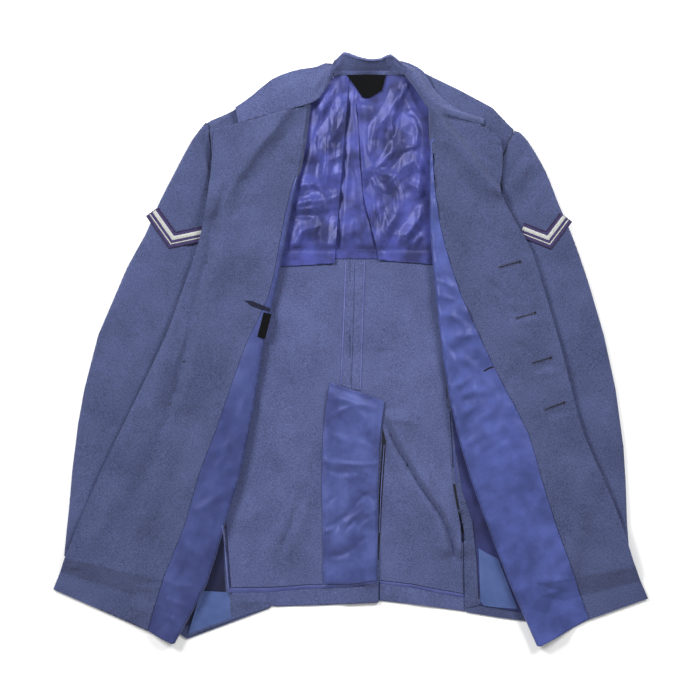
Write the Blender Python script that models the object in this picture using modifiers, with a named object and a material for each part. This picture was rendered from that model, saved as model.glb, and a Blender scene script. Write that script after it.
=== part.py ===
# Service dress jacket laid out flat on its back, with both fronts swung open.
# Tables and levels are in millimetres. +X is the wearer's left, +Y runs up to
# the collar, +Z is up, and the floor is at zero.

import math
from collections import namedtuple

import bmesh
import bpy
from mathutils import Vector

MILLIMETRE = 0.001

# Walls of the cloth
WOOL = 2.0
SATIN = 1.0
FACING = 1.6
COLLAR = 3.0
PATCH = 0.8
LABEL = 0.6
BUTTON_DIAMETER = 20.0
BUTTON_THICKNESS = 2.4

# Levels of the layers above the floor
LAYER_GAP = 0.4
SEAM_GAP = 0.3
LINING_LEVEL = WOOL + LAYER_GAP
SLEEVE_HEIGHT = 7.4
LOWER_LEVEL = 5.2
TOP_LEVEL = 12.7
TRIM_LEVEL = TOP_LEVEL + SEAM_GAP + FACING + SEAM_GAP

# Folded front edges
FOLD_INSET = 5.0
LOWER_RISE = 0.3
SHOULDER_RISE = 0.5
FALL_START = 0.12
FALL_LENGTH = 0.35
FALL_REACH = 30.0
FALL_CLEAR = 10.0

# Flattened sleeves: the top sleeve turns under by a lip along each edge
SLEEVE_LIP = 10.0
SLEEVE_LIP_SHARE = 0.36
SLEEVE_FOLD_SHARE = 0.3
UNDER_SLEEVE_CLEAR = 0.9
UNDERARM_GAP = 5.5

# Centre back vent, where the right half laps over the left half
VENT_LAP = WOOL + LAYER_GAP
VENT_LAP_START = -16.0
VENT_LAP_END = -2.0
VENT_TOP = -12.0
VENT_TOP_RUN = 30.0
VENT_FACING_CELLS = 8
VENT_FACING_MIDDLE = 18.0

Section = namedtuple("Section", "sleeve side back fold seam edge")
Side = namedtuple("Side", "name inward sections shoulder gorge underarm cuff lining_top")
Ridge = namedtuple("Ridge", "start end height half_width")
Station = namedtuple("Station", "seam roll rim seam_z roll_z rim_z curl")

# One row for each section of the jacket, from the shoulder down to the hem.
# sleeve: outer edge of the sleeve; side: armhole seam, then the folded side;
# back: x of the back's side seam; fold: folded edge of the opened front;
# seam: facing seam; edge: front edge, which lies outermost.
RIGHT_SECTIONS = (
    Section((-207, 326), (-201, 317), -201, (-56, 349), (-65, 347), (-194, 315)),
    Section((-227, 300), (-198, 275), -198, (-62, 300), (-71, 298), (-197, 275)),
    Section((-250, 257), (-199, 236), -199, (-74, 250), (-82, 249), (-201, 236)),
    Section((-272, 214), (-195, 183), -195, (-85, 193), (-94, 192), (-208, 186)),
    Section((-294, 164), (-177, 134), -177, (-95, 140), (-101, 140), (-221, 136)),
    Section((-320, 117), (-145, 84), -138, (-108, 76), (-115, 76), (-241, 79)),
    Section((-361, 21), (-162, 17), -141, (-122, 14), (-144, 15), (-262, 21)),
    Section((-381, -57), (-182, -44), -149, (-132, -50), (-167, -48), (-291, -40)),
    Section((-390, -107), (-202, -109), -158, (-144, -117), (-189, -113), (-320, -100)),
    Section((-398, -172), (-222, -173), -168, (-159, -186), (-214, -178), (-350, -162)),
    Section((-403, -229), (-241, -243), -179, (-181, -257), (-234, -249), (-378, -226)),
    Section((-410, -296), (-258, -317), -177, (-204, -333), (-262, -319), (-404, -289)),
    Section((-413, -330), (-258, -398), -172, (-250, -419), (-288, -402), (-425, -343)),
)
LEFT_SECTIONS = (
    Section((243, 312), (235, 314), 235, (114, 339), (122, 336), (215, 302)),
    Section((255, 299), (217, 275), 217, (114, 317), (122, 315), (218, 279)),
    Section((280, 257), (215, 246), 215, (115, 286), (124, 283), (217, 250)),
    Section((297, 214), (214, 212), 214, (114, 246), (121, 244), (215, 223)),
    Section((315, 172), (207, 169), 207, (114, 200), (124, 198), (240, 177)),
    Section((331, 129), (189, 126), 187, (116, 150), (134, 149), (260, 140)),
    Section((345, 86), (154, 83), 148, (122, 86), (155, 83), (281, 72)),
    Section((364, 21), (177, 14), 139, (129, 21), (185, 15), (301, 3)),
    Section((381, -57), (198, -54), 139, (139, -50), (220, -56), (318, -64)),
    Section((392, -139), (218, -119), 144, (152, -114), (253, -120), (335, -124)),
    Section((395, -186), (237, -186), 148, (172, -183), (272, -186), (364, -189)),
    Section((397, -246), (252, -250), 158, (195, -247), (292, -249), (388, -250)),
    Section((401, -298), (265, -322), 162, (225, -326), (316, -316), (405, -303)),
    Section((404, -340), (281, -393), 167, (267, -423), (341, -386), (427, -356)),
)

RIGHT = Side(
    name="right",
    inward=1,
    sections=RIGHT_SECTIONS,
    shoulder=((-201, 319), (-178, 338), (-141, 358), (-91, 381), (-51, 390)),
    gorge=((-56, 349), (-194, 315)),
    underarm=5,
    cuff=11,
    lining_top=((-147, 292), (-110, 330), (-69, 352), (-44, 372), (-29, 394), (0, 395)),
)
LEFT = Side(
    name="left",
    inward=-1,
    sections=LEFT_SECTIONS,
    shoulder=((235, 316), (215, 341), (179, 360), (144, 379), (102, 396)),
    gorge=((114, 339), (131, 335), (155, 328), (191, 319), (215, 302)),
    underarm=6,
    cuff=12,
    lining_top=((172, 290), (140, 322), (108, 350), (92, 374), (80, 395), (0, 395)),
)

NECK_LINE = ((-51, 390), (-30, 395), (78, 395), (102, 396))
RIGHT_BACK_HEM = ((-172, -353), (-115, -368), (-48, -366), (42, -362))
LEFT_BACK_HEM = ((5, -359), (42, -359), (102, -366), (167, -375))
RIGHT_SIDE_HEM = ((-258, -398), (-238, -416), (-115, -370))
LEFT_SIDE_HEM = ((281, -393), (234, -386), (209, -383), (188, -378), (167.4, -376))
RIGHT_SIDE_FOOT = ((-258, -357), (-172.4, -355))

# Columns of the side panel, and of a lining, as shares of its width
PANEL_COLUMNS = (0, 0.2, 0.6, 1)
LINING_COLUMNS = (0, 0.33, 0.67, 1)

# Side linings start two sections below the armhole, in from the panel's edges
SIDE_LINING_START = 2
SIDE_LINING_INSET = 3.0
SIDE_LINING_SHARE = 0.4
RIGHT_SIDE_LINING_FOOT = (((-240, -359), (-178, -357)), ((-240, -397), (-128, -360)))
LEFT_SIDE_LINING_FOOT = (((266, -379), (172, -363)),)

# Columns of the back between its side seam and its centre seam or vent
BACK_FLANK = 60.0
BACK_FLANK_CELLS = 5
BACK_CENTRE = (40.0, 16.0)
VENT_UNDERLAP = 8.0

# Inner edges of the two halves of the back lining, and its hem
PLEAT_RIGHT_EDGE = ((-1, 395), (-6, 329), (-22, 124))
PLEAT_LEFT_EDGE = ((5, 395), (12, 329), (19, 215), (41, 129))
LINING_SPAN = (395, 122)
LINING_CELLS = 14
LINING_CLEAR = 9.0
LINING_CRUMPLED = 5
CRUMPLED_COLUMNS = (4, 5, 6, 7)
CRUMPLED_SPAN = (0.1, 0.99)
PLEAT_STEP = (12.0, 5.0)
PLEAT_OVERLAP = 4.0
PLEAT_SPAN = (390, 131)
PLEAT_CELLS = 7
LINING_HEM = ((-147, 121), (-95, 120), (-22, 124), (-21, 129), (41, 129), (115, 123), (172, 121))

# Largest folds, each a soft ridge from start to end
FRONT_RIDGES = (
    Ridge((-139, 276), (-94, 327), 3.0, 24),
    Ridge((-190, 216), (-214, 86), 3.5, 26),
    Ridge((-214, 86), (-262, -80), 3.5, 26),
    Ridge((142, 300), (212, 226), 4.0, 24),
    Ridge((330, -230), (300, -330), 2.0, 26),
)
BACK_RIDGES = (
    Ridge((62, -112), (102, -160), 2.6, 24),
    Ridge((102, -160), (140, -262), 2.6, 24),
    Ridge((-100, -120), (-80, -250), 2.0, 26),
    Ridge((60, -40), (95, -52), 1.6, 20),
)
LINING_RIDGES = (
    Ridge((-20, 372), (-58, 318), 4.0, 11),
    Ridge((-24, 330), (-70, 262), 5.0, 12),
    Ridge((-34, 290), (-36, 236), 4.0, 11),
    Ridge((-78, 232), (-40, 205), 5.0, 13),
    Ridge((-34, 190), (-80, 158), 4.0, 12),
    Ridge((22, 368), (30, 300), 4.0, 11),
    Ridge((70, 372), (44, 318), 4.5, 12),
    Ridge((98, 330), (52, 276), 5.0, 13),
    Ridge((96, 278), (46, 236), 4.0, 12),
    Ridge((36, 232), (60, 168), 5.0, 13),
    Ridge((98, 230), (82, 160), 4.5, 12),
)

# Vent facing, corner by corner down its two long edges
VENT_LEFT_EDGE = ((-29, -46), (-38, -110), (-41, -179), (-39, -257), (-38, -341))
VENT_RIGHT_EDGE = ((49, -73), (42, -124), (39, -212), (40, -257), (38, -335))

# Collar from its right end, round the neck, to its left end
STAND_LOWER = 5.0
STAND_MIDDLE = 14.0
STAND_UPPER = 20.5
STAND_TOP = 23.6
COLLAR_STATIONS = (
    Station((-159, 324.6), (-161, 334), (-164, 347), 14.2, 14.0, 8.5, 0.0),
    Station((-129, 332.2), (-133, 345), (-141, 363), 14.4, 14.2, 8.5, 0.0),
    Station((-98, 340), (-103, 358), (-112, 387), 14.6, 14.6, 8.5, 0.0),
    Station((-69, 348), (-74, 367), (-82, 399), 15.4, 15.8, 8.5, 0.0),
    Station((-49, 355), (-53, 371), (-61, 403), 15.6, 17.0, 8.5, 0.0),
    Station((-39, 366), (-42, 379), (-48, 405), 13.0, 17.5, 9.0, 0.0),
    Station((-29, 384), (-31, 394), (-35, 410), 10.5, 18.0, 10.0, 0.0),
    Station((-21, 396), (-21, 413), (-22, 409), 8.0, 22.0, 8.0, 0.6),
    Station((-9, 396), (-9, 425), (-9, 406), 5.0, 24.0, 0.0, 1.0),
    Station((8, 396), (7, 420), (8, 405), 4.0, 24.0, 0.0, 1.0),
    Station((26, 396), (26, 415), (26, 404), 4.0, 24.0, 0.0, 1.0),
    Station((44, 396), (44, 416), (44, 404), 4.0, 24.0, 0.0, 1.0),
    Station((60, 396), (58, 422), (60, 406), 5.0, 24.0, 0.0, 1.0),
    Station((73, 397), (72, 410), (75, 414), 8.5, 22.0, 8.0, 0.5),
    Station((84, 385), (88, 393), (97, 404), 12.0, 18.0, 10.0, 0.0),
    Station((94, 371), (99, 380), (109, 393), 14.0, 18.0, 9.0, 0.0),
    Station((102, 358), (108, 365), (119, 375), 15.4, 18.0, 9.5, 0.0),
    Station((112, 344), (119, 352), (133, 360), 16.0, 17.4, 9.5, 0.0),
    Station((133, 337.5), (137, 343), (149, 347), 15.4, 15.8, 10.0, 0.0),
    Station((155, 331), (158, 335), (165, 339), 14.8, 15.0, 10.5, 0.0),
    Station((190, 321.5), (190.5, 326), (191, 331), 14.4, 14.4, 11.0, 0.0),
)

RIGHT_PATCH = ((-283, 198), (-254, 157), (-206, 167))
LEFT_PATCH = ((245, 172), (284, 157), (309, 190))
PATCH_HALF_WIDTH = 11.0
BUTTON_PLACES = ((-205, 126), (-218, 53), (-237, -16), (-257, -77))
POCKET_WELT = ((-151, 71), (-140, 70), (-113, 59), (-114, 55), (-141, 63))
POCKET_LABEL = ((-123, 54), (-112, 51), (-121, 16), (-132, 19))
NECK_LABEL = ((-5, 394), (52, 394), (46, 372), (28, 361), (18, 362))

# Colour, roughness and metallic value of each finish
WOOL_FINISH = ((0.085, 0.105, 0.245), 0.9, 0.0)
SATIN_FINISH = ((0.075, 0.09, 0.27), 0.4, 0.0)
PATCH_FINISH = ((0.04, 0.025, 0.11), 0.85, 0.0)
LABEL_FINISH = ((0.012, 0.013, 0.02), 0.7, 0.0)
BUTTON_FINISH = ((0.55, 0.56, 0.58), 0.35, 1.0)


def ramp(value):
    """Rise smoothly from 0 to 1 as value does."""
    value = min(1.0, max(0.0, value))
    return value * value * (3 - 2 * value)


def mix(start, end, share):
    return tuple(a + (b - a) * share for a, b in zip(start, end))


def along(line, share):
    """Point at a share of a polyline's length."""
    lengths = [math.dist(a, b) for a, b in zip(line, line[1:])]
    left = share * sum(lengths)
    for start, end, length in zip(line, line[1:], lengths):
        if left <= length:
            return mix(start, end, left / length)
        left -= length
    return line[-1]


def height_at(line, x):
    """Y of a polyline at x, its ends carried on level."""
    points = sorted(line)
    if x <= points[0][0]:
        return points[0][1]
    for start, end in zip(points, points[1:]):
        if x <= end[0]:
            return start[1] + (end[1] - start[1]) * (x - start[0]) / max(end[0] - start[0], 0.001)
    return points[-1][1]


def place_at(line, y):
    """X of a polyline that runs downwards, at height y."""
    return height_at([(point[1], point[0]) for point in line], y)


def smooth_rows(rows, t):
    """Catmull-Rom spline through one point for each section."""
    index = min(int(t), len(rows) - 2)
    u = t - index
    before = rows[max(index - 1, 0)]
    start = rows[index]
    end = rows[index + 1]
    after = rows[min(index + 2, len(rows) - 1)]
    return tuple(
        0.5 * (2 * b + (c - a) * u + (2 * a - 5 * b + 4 * c - d) * u ** 2
               + (3 * b - a - 3 * c + d) * u ** 3)
        for a, b, c, d in zip(before, start, end, after)
    )


def ridge_height(ridges, x, y):
    """Height of the tallest ridge at a place."""
    tallest = 0.0
    for ridge in ridges:
        run = Vector(ridge.end) - Vector(ridge.start)
        offset = Vector((x, y)) - Vector(ridge.start)
        share = min(1.0, max(0.0, offset.dot(run) / run.length_squared))
        distance = (offset - run * share).length
        if distance < ridge.half_width:
            swell = 0.5 + 0.5 * math.cos(math.pi * distance / ridge.half_width)
            tallest = max(tallest, ridge.height * swell)
    return tallest


def spread(start, end, cells):
    """Evenly spaced values from start to end, both included."""
    return [start + (end - start) * i / cells for i in range(cells + 1)]


def steps(start, end, step):
    return spread(start, end, max(1, round(abs(end - start) / step)))


def finish(name, look):
    colour, roughness, metallic = look
    material = bpy.data.materials.new(name)
    material.use_nodes = True
    shader = material.node_tree.nodes["Principled BSDF"]
    shader.inputs["Base Color"].default_value = (*colour, 1)
    shader.inputs["Roughness"].default_value = roughness
    shader.inputs["Metallic"].default_value = metallic
    return material


def add_object(name, data, look):
    item = bpy.data.objects.new(name, data)
    data.materials.append(finish(name, look))
    bpy.data.collections["service_dress_jacket"].objects.link(item)
    return item


def cloth(name, rows, wall, look, facing_column=-1, keep=None):
    """Sheet through rows of points, with its wall under the shown face.

    facing_column is a column whose shown face looks up, and keep(row, column)
    says which cells of the grid belong to the piece.
    """
    columns = len(rows[0])
    mesh_maker = bmesh.new()
    bmesh.ops.create_grid(mesh_maker, x_segments=columns - 1, y_segments=len(rows) - 1, size=1)
    mesh_maker.verts.ensure_lookup_table()
    for index, vertex in enumerate(mesh_maker.verts):
        vertex.co = Vector(rows[index // columns][index % columns]) * MILLIMETRE
    mesh_maker.faces.ensure_lookup_table()
    mesh_maker.normal_update()
    cells = columns - 1
    middle_row = (len(rows) - 1) // 2
    if mesh_maker.faces[middle_row * cells + facing_column % cells].normal.z < 0:
        bmesh.ops.reverse_faces(mesh_maker, faces=mesh_maker.faces)
    if keep:
        spare = [face for index, face in enumerate(mesh_maker.faces)
                 if not keep(index // cells, index % cells)]
        bmesh.ops.delete(mesh_maker, geom=spare, context="FACES")
    mesh = bpy.data.meshes.new(name)
    mesh_maker.to_mesh(mesh)
    mesh_maker.free()
    mesh.shade_smooth()
    item = add_object(name, mesh, look)
    thickness = item.modifiers.new("wall", "SOLIDIFY")
    thickness.thickness = wall * MILLIMETRE
    thickness.offset = -1
    thickness.use_even_offset = True
    return item


def flat_piece(name, outline, bottom, thickness, look):
    """Thin piece with a straight-sided outline, its underside at bottom."""
    curve = bpy.data.curves.new(name, "CURVE")
    curve.dimensions = "2D"
    curve.fill_mode = "BOTH"
    curve.extrude = thickness / 2 * MILLIMETRE
    spline = curve.splines.new("POLY")
    spline.points.add(len(outline) - 1)
    for point, (x, y) in zip(spline.points, outline):
        point.co = (x * MILLIMETRE, y * MILLIMETRE, 0, 1)
    spline.use_cyclic_u = True
    item = add_object(name, curve, look)
    item.location.z = (bottom + thickness / 2) * MILLIMETRE
    return item


# Section lines of one side

def column(side, name):
    return [getattr(section, name) for section in side.sections]


def side_line(side, t):
    """Armhole seam, then the folded side edge."""
    return smooth_rows(column(side, "side"), t)


def back_seam_x(side, t):
    return smooth_rows([(x,) for x in column(side, "back")], t)[0]


def lower_plan(side, t, share):
    """Place on the front's lower layer, from the side line to the fold."""
    inset = side.inward * FOLD_INSET
    rows = []
    for index, section in enumerate(side.sections):
        start = (section.side[0] + side.inward * SEAM_GAP, section.side[1])
        end = (section.fold[0] - inset, section.fold[1])
        line = (start, end)
        if index == 0:
            line = (start, *side.shoulder[1:-1], (side.shoulder[-1][0] - inset, side.shoulder[-1][1]))
        rows.append(along(line, share))
    return smooth_rows(rows, t)


def top_plan(side, t, share, seam_shift=0.0):
    """Place on the front's top layer: 0 to 1 from fold to seam, 1 to 2 on to the edge."""
    inset = side.inward * FOLD_INSET
    rows = []
    for index, section in enumerate(side.sections):
        fold = (section.fold[0] - inset, section.fold[1])
        seam = (section.seam[0] + side.inward * seam_shift - inset * 0.4, section.seam[1])
        if index == 0:
            line = (fold, *side.gorge[1:])
            length = sum(math.dist(a, b) for a, b in zip(line, line[1:]))
            split = math.dist(fold, seam) / length
            share_here = split * share if share < 1 else split + (1 - split) * (share - 1)
            rows.append(along(line, share_here))
        elif share < 1:
            rows.append(mix(fold, seam, share))
        else:
            rows.append(mix(seam, section.edge, share - 1))
    return smooth_rows(rows, t)


def lower_level(t, share):
    rise = min(1.0, share / LOWER_RISE) * min(1.0, t / SHOULDER_RISE)
    return LINING_LEVEL + (LOWER_LEVEL - LINING_LEVEL) * rise


def top_level(side, t, x, y):
    """Upper face of the top layer, which falls to the floor past the cuff."""
    past_cuff = ramp((t - side.cuff - FALL_START) / FALL_LENGTH)
    outside = side.inward * (side_line(side, t)[0] - x) - FALL_CLEAR
    fall = past_cuff * ramp(outside / FALL_REACH)
    swell = ridge_height(FRONT_RIDGES, x, y) * (1 - past_cuff)
    return TOP_LEVEL - (TOP_LEVEL - WOOL) * fall + swell


def front_point(side, t, s, out=0.0, seam_shift=0.0):
    """Point on the inner face of the opened front, or moved out from it.

    s is 0 to 1 on the lower layer, 1 to 2 round the fold, 2 to 3 on to the
    facing seam and 3 to 4 on to the front edge.
    """
    if s <= 1:
        x, y = lower_plan(side, t, s)
        return (x, y, lower_level(t, s) - out)
    if s >= 2:
        x, y = top_plan(side, t, s - 2, seam_shift)
        return (x, y, top_level(side, t, x, y) + out)
    angle = math.pi * (s - 1.5)
    start = lower_plan(side, t, 1)
    end = top_plan(side, t, 0)
    bottom = lower_level(t, 1)
    top = top_level(side, t, *end)
    radius = (top - bottom) / 2
    x, y = mix(start, end, (math.sin(angle) + 1) / 2)
    return (
        x + side.inward * (radius + out) * math.cos(angle),
        y,
        (top + bottom) / 2 + (radius + out) * math.sin(angle),
    )


def front_rows(side):
    """Section values of the front, closer where it falls past the cuff."""
    rows = steps(0, side.cuff, 0.5)
    rows += [side.cuff + FALL_START, side.cuff + FALL_START + FALL_LENGTH / 2]
    rows += [side.cuff + FALL_START + FALL_LENGTH, len(side.sections) - 1]
    return rows


LOWER_STEPS = [0, LOWER_RISE, 0.65, 1]
FOLD_STEPS = [1.25, 1.5, 1.75, 2]
SEAM_STEPS = [2.35, 2.7, 3]
EDGE_STEPS = [3.25, 3.5, 3.75, 4]
LINING_START = {"right": 4, "left": 3}
LINING_START_SHIFT = 0.02
WRAP_FROM = 2


def make_front(side):
    values = LOWER_STEPS + FOLD_STEPS + SEAM_STEPS + EDGE_STEPS
    rows = [[front_point(side, t, s) for s in values] for t in front_rows(side)]
    cloth("front_" + side.name, rows, WOOL, WOOL_FINISH)


def make_facing(side):
    """Facing on the lapel and front edge, wrapped round the fold at the chest."""
    out = SEAM_GAP + FACING
    values = FOLD_STEPS + SEAM_STEPS + EDGE_STEPS
    fold_cell = len(FOLD_STEPS) - 1
    seam_cell = fold_cell + len(SEAM_STEPS)
    first = LINING_START[side.name]
    rows = [[front_point(side, t, s, out) for s in values] for t in front_rows(side)]
    cloth("facing_" + side.name, rows, FACING, WOOL_FINISH,
          keep=lambda row, cell: WRAP_FROM <= row < first
          or cell >= (fold_cell if row < WRAP_FROM else seam_cell))


def make_front_lining(side):
    """Satin between the facing seam and the fold, wrapped round the fold."""
    out = SEAM_GAP + SATIN
    values = FOLD_STEPS + SEAM_STEPS
    rows_here = front_rows(side)[LINING_START[side.name]:]
    rows_here[0] += LINING_START_SHIFT
    rows = [[front_point(side, t, s, out, seam_shift=SEAM_GAP * 2) for s in values] for t in rows_here]
    cloth("front_lining_" + side.name, rows, SATIN, SATIN_FINISH)


def sleeve_edges(side, t):
    """Outer and inner edge of the flattened sleeve."""
    outer = smooth_rows(column(side, "sleeve"), t)
    x, y = side_line(side, t)
    gap = SEAM_GAP + UNDERARM_GAP * ramp(t - side.underarm)
    return outer, (x - side.inward * gap, y)


def sleeve_rows(side):
    return steps(0, side.underarm, 0.5) + steps(side.underarm + 1, side.cuff - 0.02, 1)


def lip_width(width):
    return min(SLEEVE_LIP, SLEEVE_LIP_SHARE * width)


def sleeve_section(side, t):
    """Flattened tube from its inner lip, over the top, to its outer lip."""
    outer, inner = sleeve_edges(side, t)
    width = math.dist(outer, inner)
    radius = min(SLEEVE_HEIGHT / 2, SLEEVE_FOLD_SHARE * width)
    lip = lip_width(width)
    profile = [(lip, 0.0)]
    for step in range(4):
        angle = math.pi * step / 3
        profile.append((radius - radius * math.sin(angle), radius - radius * math.cos(angle)))
    for share in (0.33, 0.67):
        profile.append((radius + (width - 2 * radius) * share, 2 * radius))
    for step in range(4):
        angle = math.pi * step / 3
        profile.append((width - radius + radius * math.sin(angle), radius + radius * math.cos(angle)))
    profile.append((width - lip, 0.0))
    return [(*mix(inner, outer, distance / width), z) for distance, z in profile]


def make_sleeve(side):
    rows = [sleeve_section(side, t) for t in sleeve_rows(side)]
    cloth("top_sleeve_" + side.name, rows, WOOL, WOOL_FINISH, facing_column=5)
    strip = []
    for t in sleeve_rows(side):
        outer, inner = sleeve_edges(side, t)
        width = math.dist(outer, inner)
        inset = (lip_width(width) + UNDER_SLEEVE_CLEAR) / width
        places = [mix(inner, outer, inset + (1 - 2 * inset) * share) for share in (0, 0.5, 1)]
        strip.append([(*place, WOOL) for place in places])
    cloth("under_sleeve_" + side.name, strip, WOOL, WOOL_FINISH)


def back_rows(side):
    rows = steps(0, side.underarm + 1, 0.5) + steps(side.underarm + 2, len(side.sections) - 1, 1)
    return rows


def vent_lift(x, y):
    """Rise of the right half where it laps over the left half."""
    across = min(1.0, max(0.0, (x - VENT_LAP_START) / (VENT_LAP_END - VENT_LAP_START)))
    down = min(1.0, max(0.0, (VENT_TOP - y) / VENT_TOP_RUN))
    return VENT_LAP * across * down


def back_inner_x(side, y):
    """Centre back seam, then the edge of the vent."""
    if side is RIGHT:
        return place_at(((-0.5, 400), (-0.5, -54), (41, -129), (41, -400)), y)
    return place_at(((0.5, 400), (0.5, -54), (5, -129), (5, -400)), y)


def make_back(side):
    top_line = (*side.shoulder, *NECK_LINE)
    hem = RIGHT_BACK_HEM if side is RIGHT else LEFT_BACK_HEM
    rows = []
    values = back_rows(side)
    for t in values:
        x, y = side_line(side, t)
        outer = (x if t <= side.underarm - 0.5 else back_seam_x(side, t)) + side.inward * SEAM_GAP
        inner = back_inner_x(side, y)
        flank = -side.inward * BACK_FLANK
        places = spread(outer, flank, BACK_FLANK_CELLS)
        places += [-side.inward * place for place in BACK_CENTRE]
        places += [VENT_LAP_END if side is RIGHT else VENT_UNDERLAP, inner]
        row = []
        for place in places:
            level = y
            if t == 0:
                level = height_at(top_line, place) - 0.5
            elif t == values[-1]:
                level = height_at(hem, place)
            z = WOOL + ridge_height(BACK_RIDGES, place, level) * (place not in places[-4:])
            if side is RIGHT:
                z += vent_lift(place, level)
            row.append((place, level, z))
        rows.append(row)
    cloth("back_" + side.name, rows, WOOL, WOOL_FINISH)


def side_panel_line(side, t, inset, fold_share):
    """Outer and inner end of the side panel at one section."""
    x, y = side_line(side, t)
    fold = smooth_rows(column(side, "fold"), t)
    outer = mix((x, y), fold, fold_share)
    inner_x = back_seam_x(side, t) - side.inward * (SEAM_GAP + inset)
    return outer, (inner_x, y)


def make_side_panel(side):
    hem = RIGHT_SIDE_HEM if side is RIGHT else LEFT_SIDE_HEM
    first = side.underarm
    lines = [side_panel_line(side, t, 0, 0) for t in steps(first, side.cuff, 1)]
    if side is RIGHT:
        lines.append(RIGHT_SIDE_FOOT)
    rows = [[(*mix(*line, share), WOOL) for share in PANEL_COLUMNS] for line in lines]
    rows.append([(*along(hem, share), WOOL) for share in PANEL_COLUMNS])
    cloth("side_panel_" + side.name, rows, WOOL, WOOL_FINISH)

    lining = [side_panel_line(side, t, SIDE_LINING_INSET, SIDE_LINING_SHARE)
              for t in steps(first + SIDE_LINING_START, side.cuff, 1)]
    lining += RIGHT_SIDE_LINING_FOOT if side is RIGHT else LEFT_SIDE_LINING_FOOT
    rows = [[(*mix(*line, share), LINING_LEVEL + SATIN) for share in LINING_COLUMNS] for line in lining]
    cloth("side_lining_" + side.name, rows, SATIN, SATIN_FINISH)


def make_back_lining(side):
    """Half of the back lining, crumpled between the folds of the fronts."""
    edge = PLEAT_RIGHT_EDGE if side is RIGHT else PLEAT_LEFT_EDGE
    folds = [side.lining_top[-2], *column(side, "fold")]
    outer = side.lining_top[0][0]
    top_level_y, hem_level_y = LINING_SPAN
    rows = []
    for down in spread(0, 1, LINING_CELLS):
        guess = top_level_y + (hem_level_y - top_level_y) * down
        fold = place_at(folds, guess)
        inner = place_at(edge, guess)
        start = fold + side.inward * LINING_CLEAR
        end = inner - side.inward * PLEAT_STEP[0]
        places = [outer, (outer + fold) / 2, fold]
        places += spread(start, end, LINING_CRUMPLED)
        places += [inner - side.inward * PLEAT_STEP[1], inner]
        line = []
        for index, place in enumerate(places):
            top = height_at(side.lining_top, place)
            y = top + (height_at(LINING_HEM, place) - top) * down
            z = LINING_LEVEL + SATIN
            if index in CRUMPLED_COLUMNS and CRUMPLED_SPAN[0] < down < CRUMPLED_SPAN[1]:
                z += ridge_height(LINING_RIDGES, place, y)
            if index > CRUMPLED_COLUMNS[-1] + 1:
                z += SATIN + LAYER_GAP
            line.append((place, y, z))
        rows.append(line)
    cloth("back_lining_" + side.name, rows, SATIN, SATIN_FINISH)


def make_pleat():
    """Underlay that shows between the two halves of the back lining."""
    rows = []
    for y in spread(*PLEAT_SPAN, PLEAT_CELLS):
        start = place_at(PLEAT_RIGHT_EDGE, y) - PLEAT_OVERLAP
        end = place_at(PLEAT_LEFT_EDGE, y) + PLEAT_OVERLAP
        rows.append([(start + (end - start) * share / 2, y, LINING_LEVEL + SATIN) for share in range(3)])
    cloth("back_lining_pleat", rows, SATIN, SATIN_FINISH)


def make_vent_facing():
    rows = []
    for share in spread(0, 1, VENT_FACING_CELLS):
        left = along(VENT_LEFT_EDGE, share)
        right = along(VENT_RIGHT_EDGE, share)
        line = []
        for x in (left[0], VENT_LAP_START, VENT_LAP_END, VENT_FACING_MIDDLE, right[0]):
            y = left[1] + (right[1] - left[1]) * (x - left[0]) / (right[0] - left[0])
            line.append((x, y, WOOL + vent_lift(x, min(y, VENT_TOP - VENT_TOP_RUN)) + LAYER_GAP + SATIN))
        rows.append(line)
    cloth("vent_facing", rows, SATIN, SATIN_FINISH)


def collar_section(station):
    """Collar from its seam, over the roll, to its rim."""
    seam, roll, rim = station.seam, station.roll, station.rim
    depth = math.dist(seam, roll)
    rolled = (
        (0, station.seam_z), (0.42 * depth, STAND_MIDDLE), (0.74 * depth, STAND_UPPER), (depth - 4, STAND_TOP),
        (depth - 0.8, STAND_UPPER), (depth, STAND_MIDDLE), (depth - 1, STAND_LOWER), (depth - 5, 0),
        (math.dist(seam, rim), 0),
    )
    open_shares = ((0, 0), (0.5, 0), (1, 0), (1, 0.15), (1, 0.32), (1, 0.5), (1, 0.68), (1, 0.84), (1, 1))
    points = []
    for (distance, z_rolled), (to_roll, to_rim) in zip(rolled, open_shares):
        under = mix(seam, roll, distance / depth)
        flat = mix(mix(seam, roll, to_roll), rim, to_rim)
        z_flat = station.seam_z + (station.roll_z - station.seam_z) * math.sin(math.pi / 2 * to_roll)
        z_flat += (station.rim_z - z_flat) * ramp(to_rim)
        x, y = mix(flat, under, station.curl)
        points.append((x, y, z_flat + (z_rolled - z_flat) * station.curl))
    return points


def make_collar():
    sections = [collar_section(station) for station in COLLAR_STATIONS]
    columns = list(zip(*sections))
    rows = []
    for t in steps(0, len(sections) - 1, 0.5):
        points = [smooth_rows(column_points, t) for column_points in columns]
        rows.append([(x, y, max(z, 0)) for x, y, z in points])
    cloth("collar", rows, COLLAR, WOOL_FINISH, facing_column=0)


def chevron_outline(line, half_width):
    """Outline of a V of even width round its centre line."""
    start, corner, end = (Vector(point) for point in line)
    first = (corner - start).normalized()
    second = (end - corner).normalized()
    across = [Vector((-first.y, first.x)), Vector((-second.y, second.x))]
    corner_offset = (across[0] + across[1]) / (1 + across[0].dot(across[1]))
    upper = [start + across[0] * half_width, corner + corner_offset * half_width, end + across[1] * half_width]
    lower = [start - across[0] * half_width, corner - corner_offset * half_width, end - across[1] * half_width]
    return [tuple(point) for point in upper + lower[::-1]]


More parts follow.
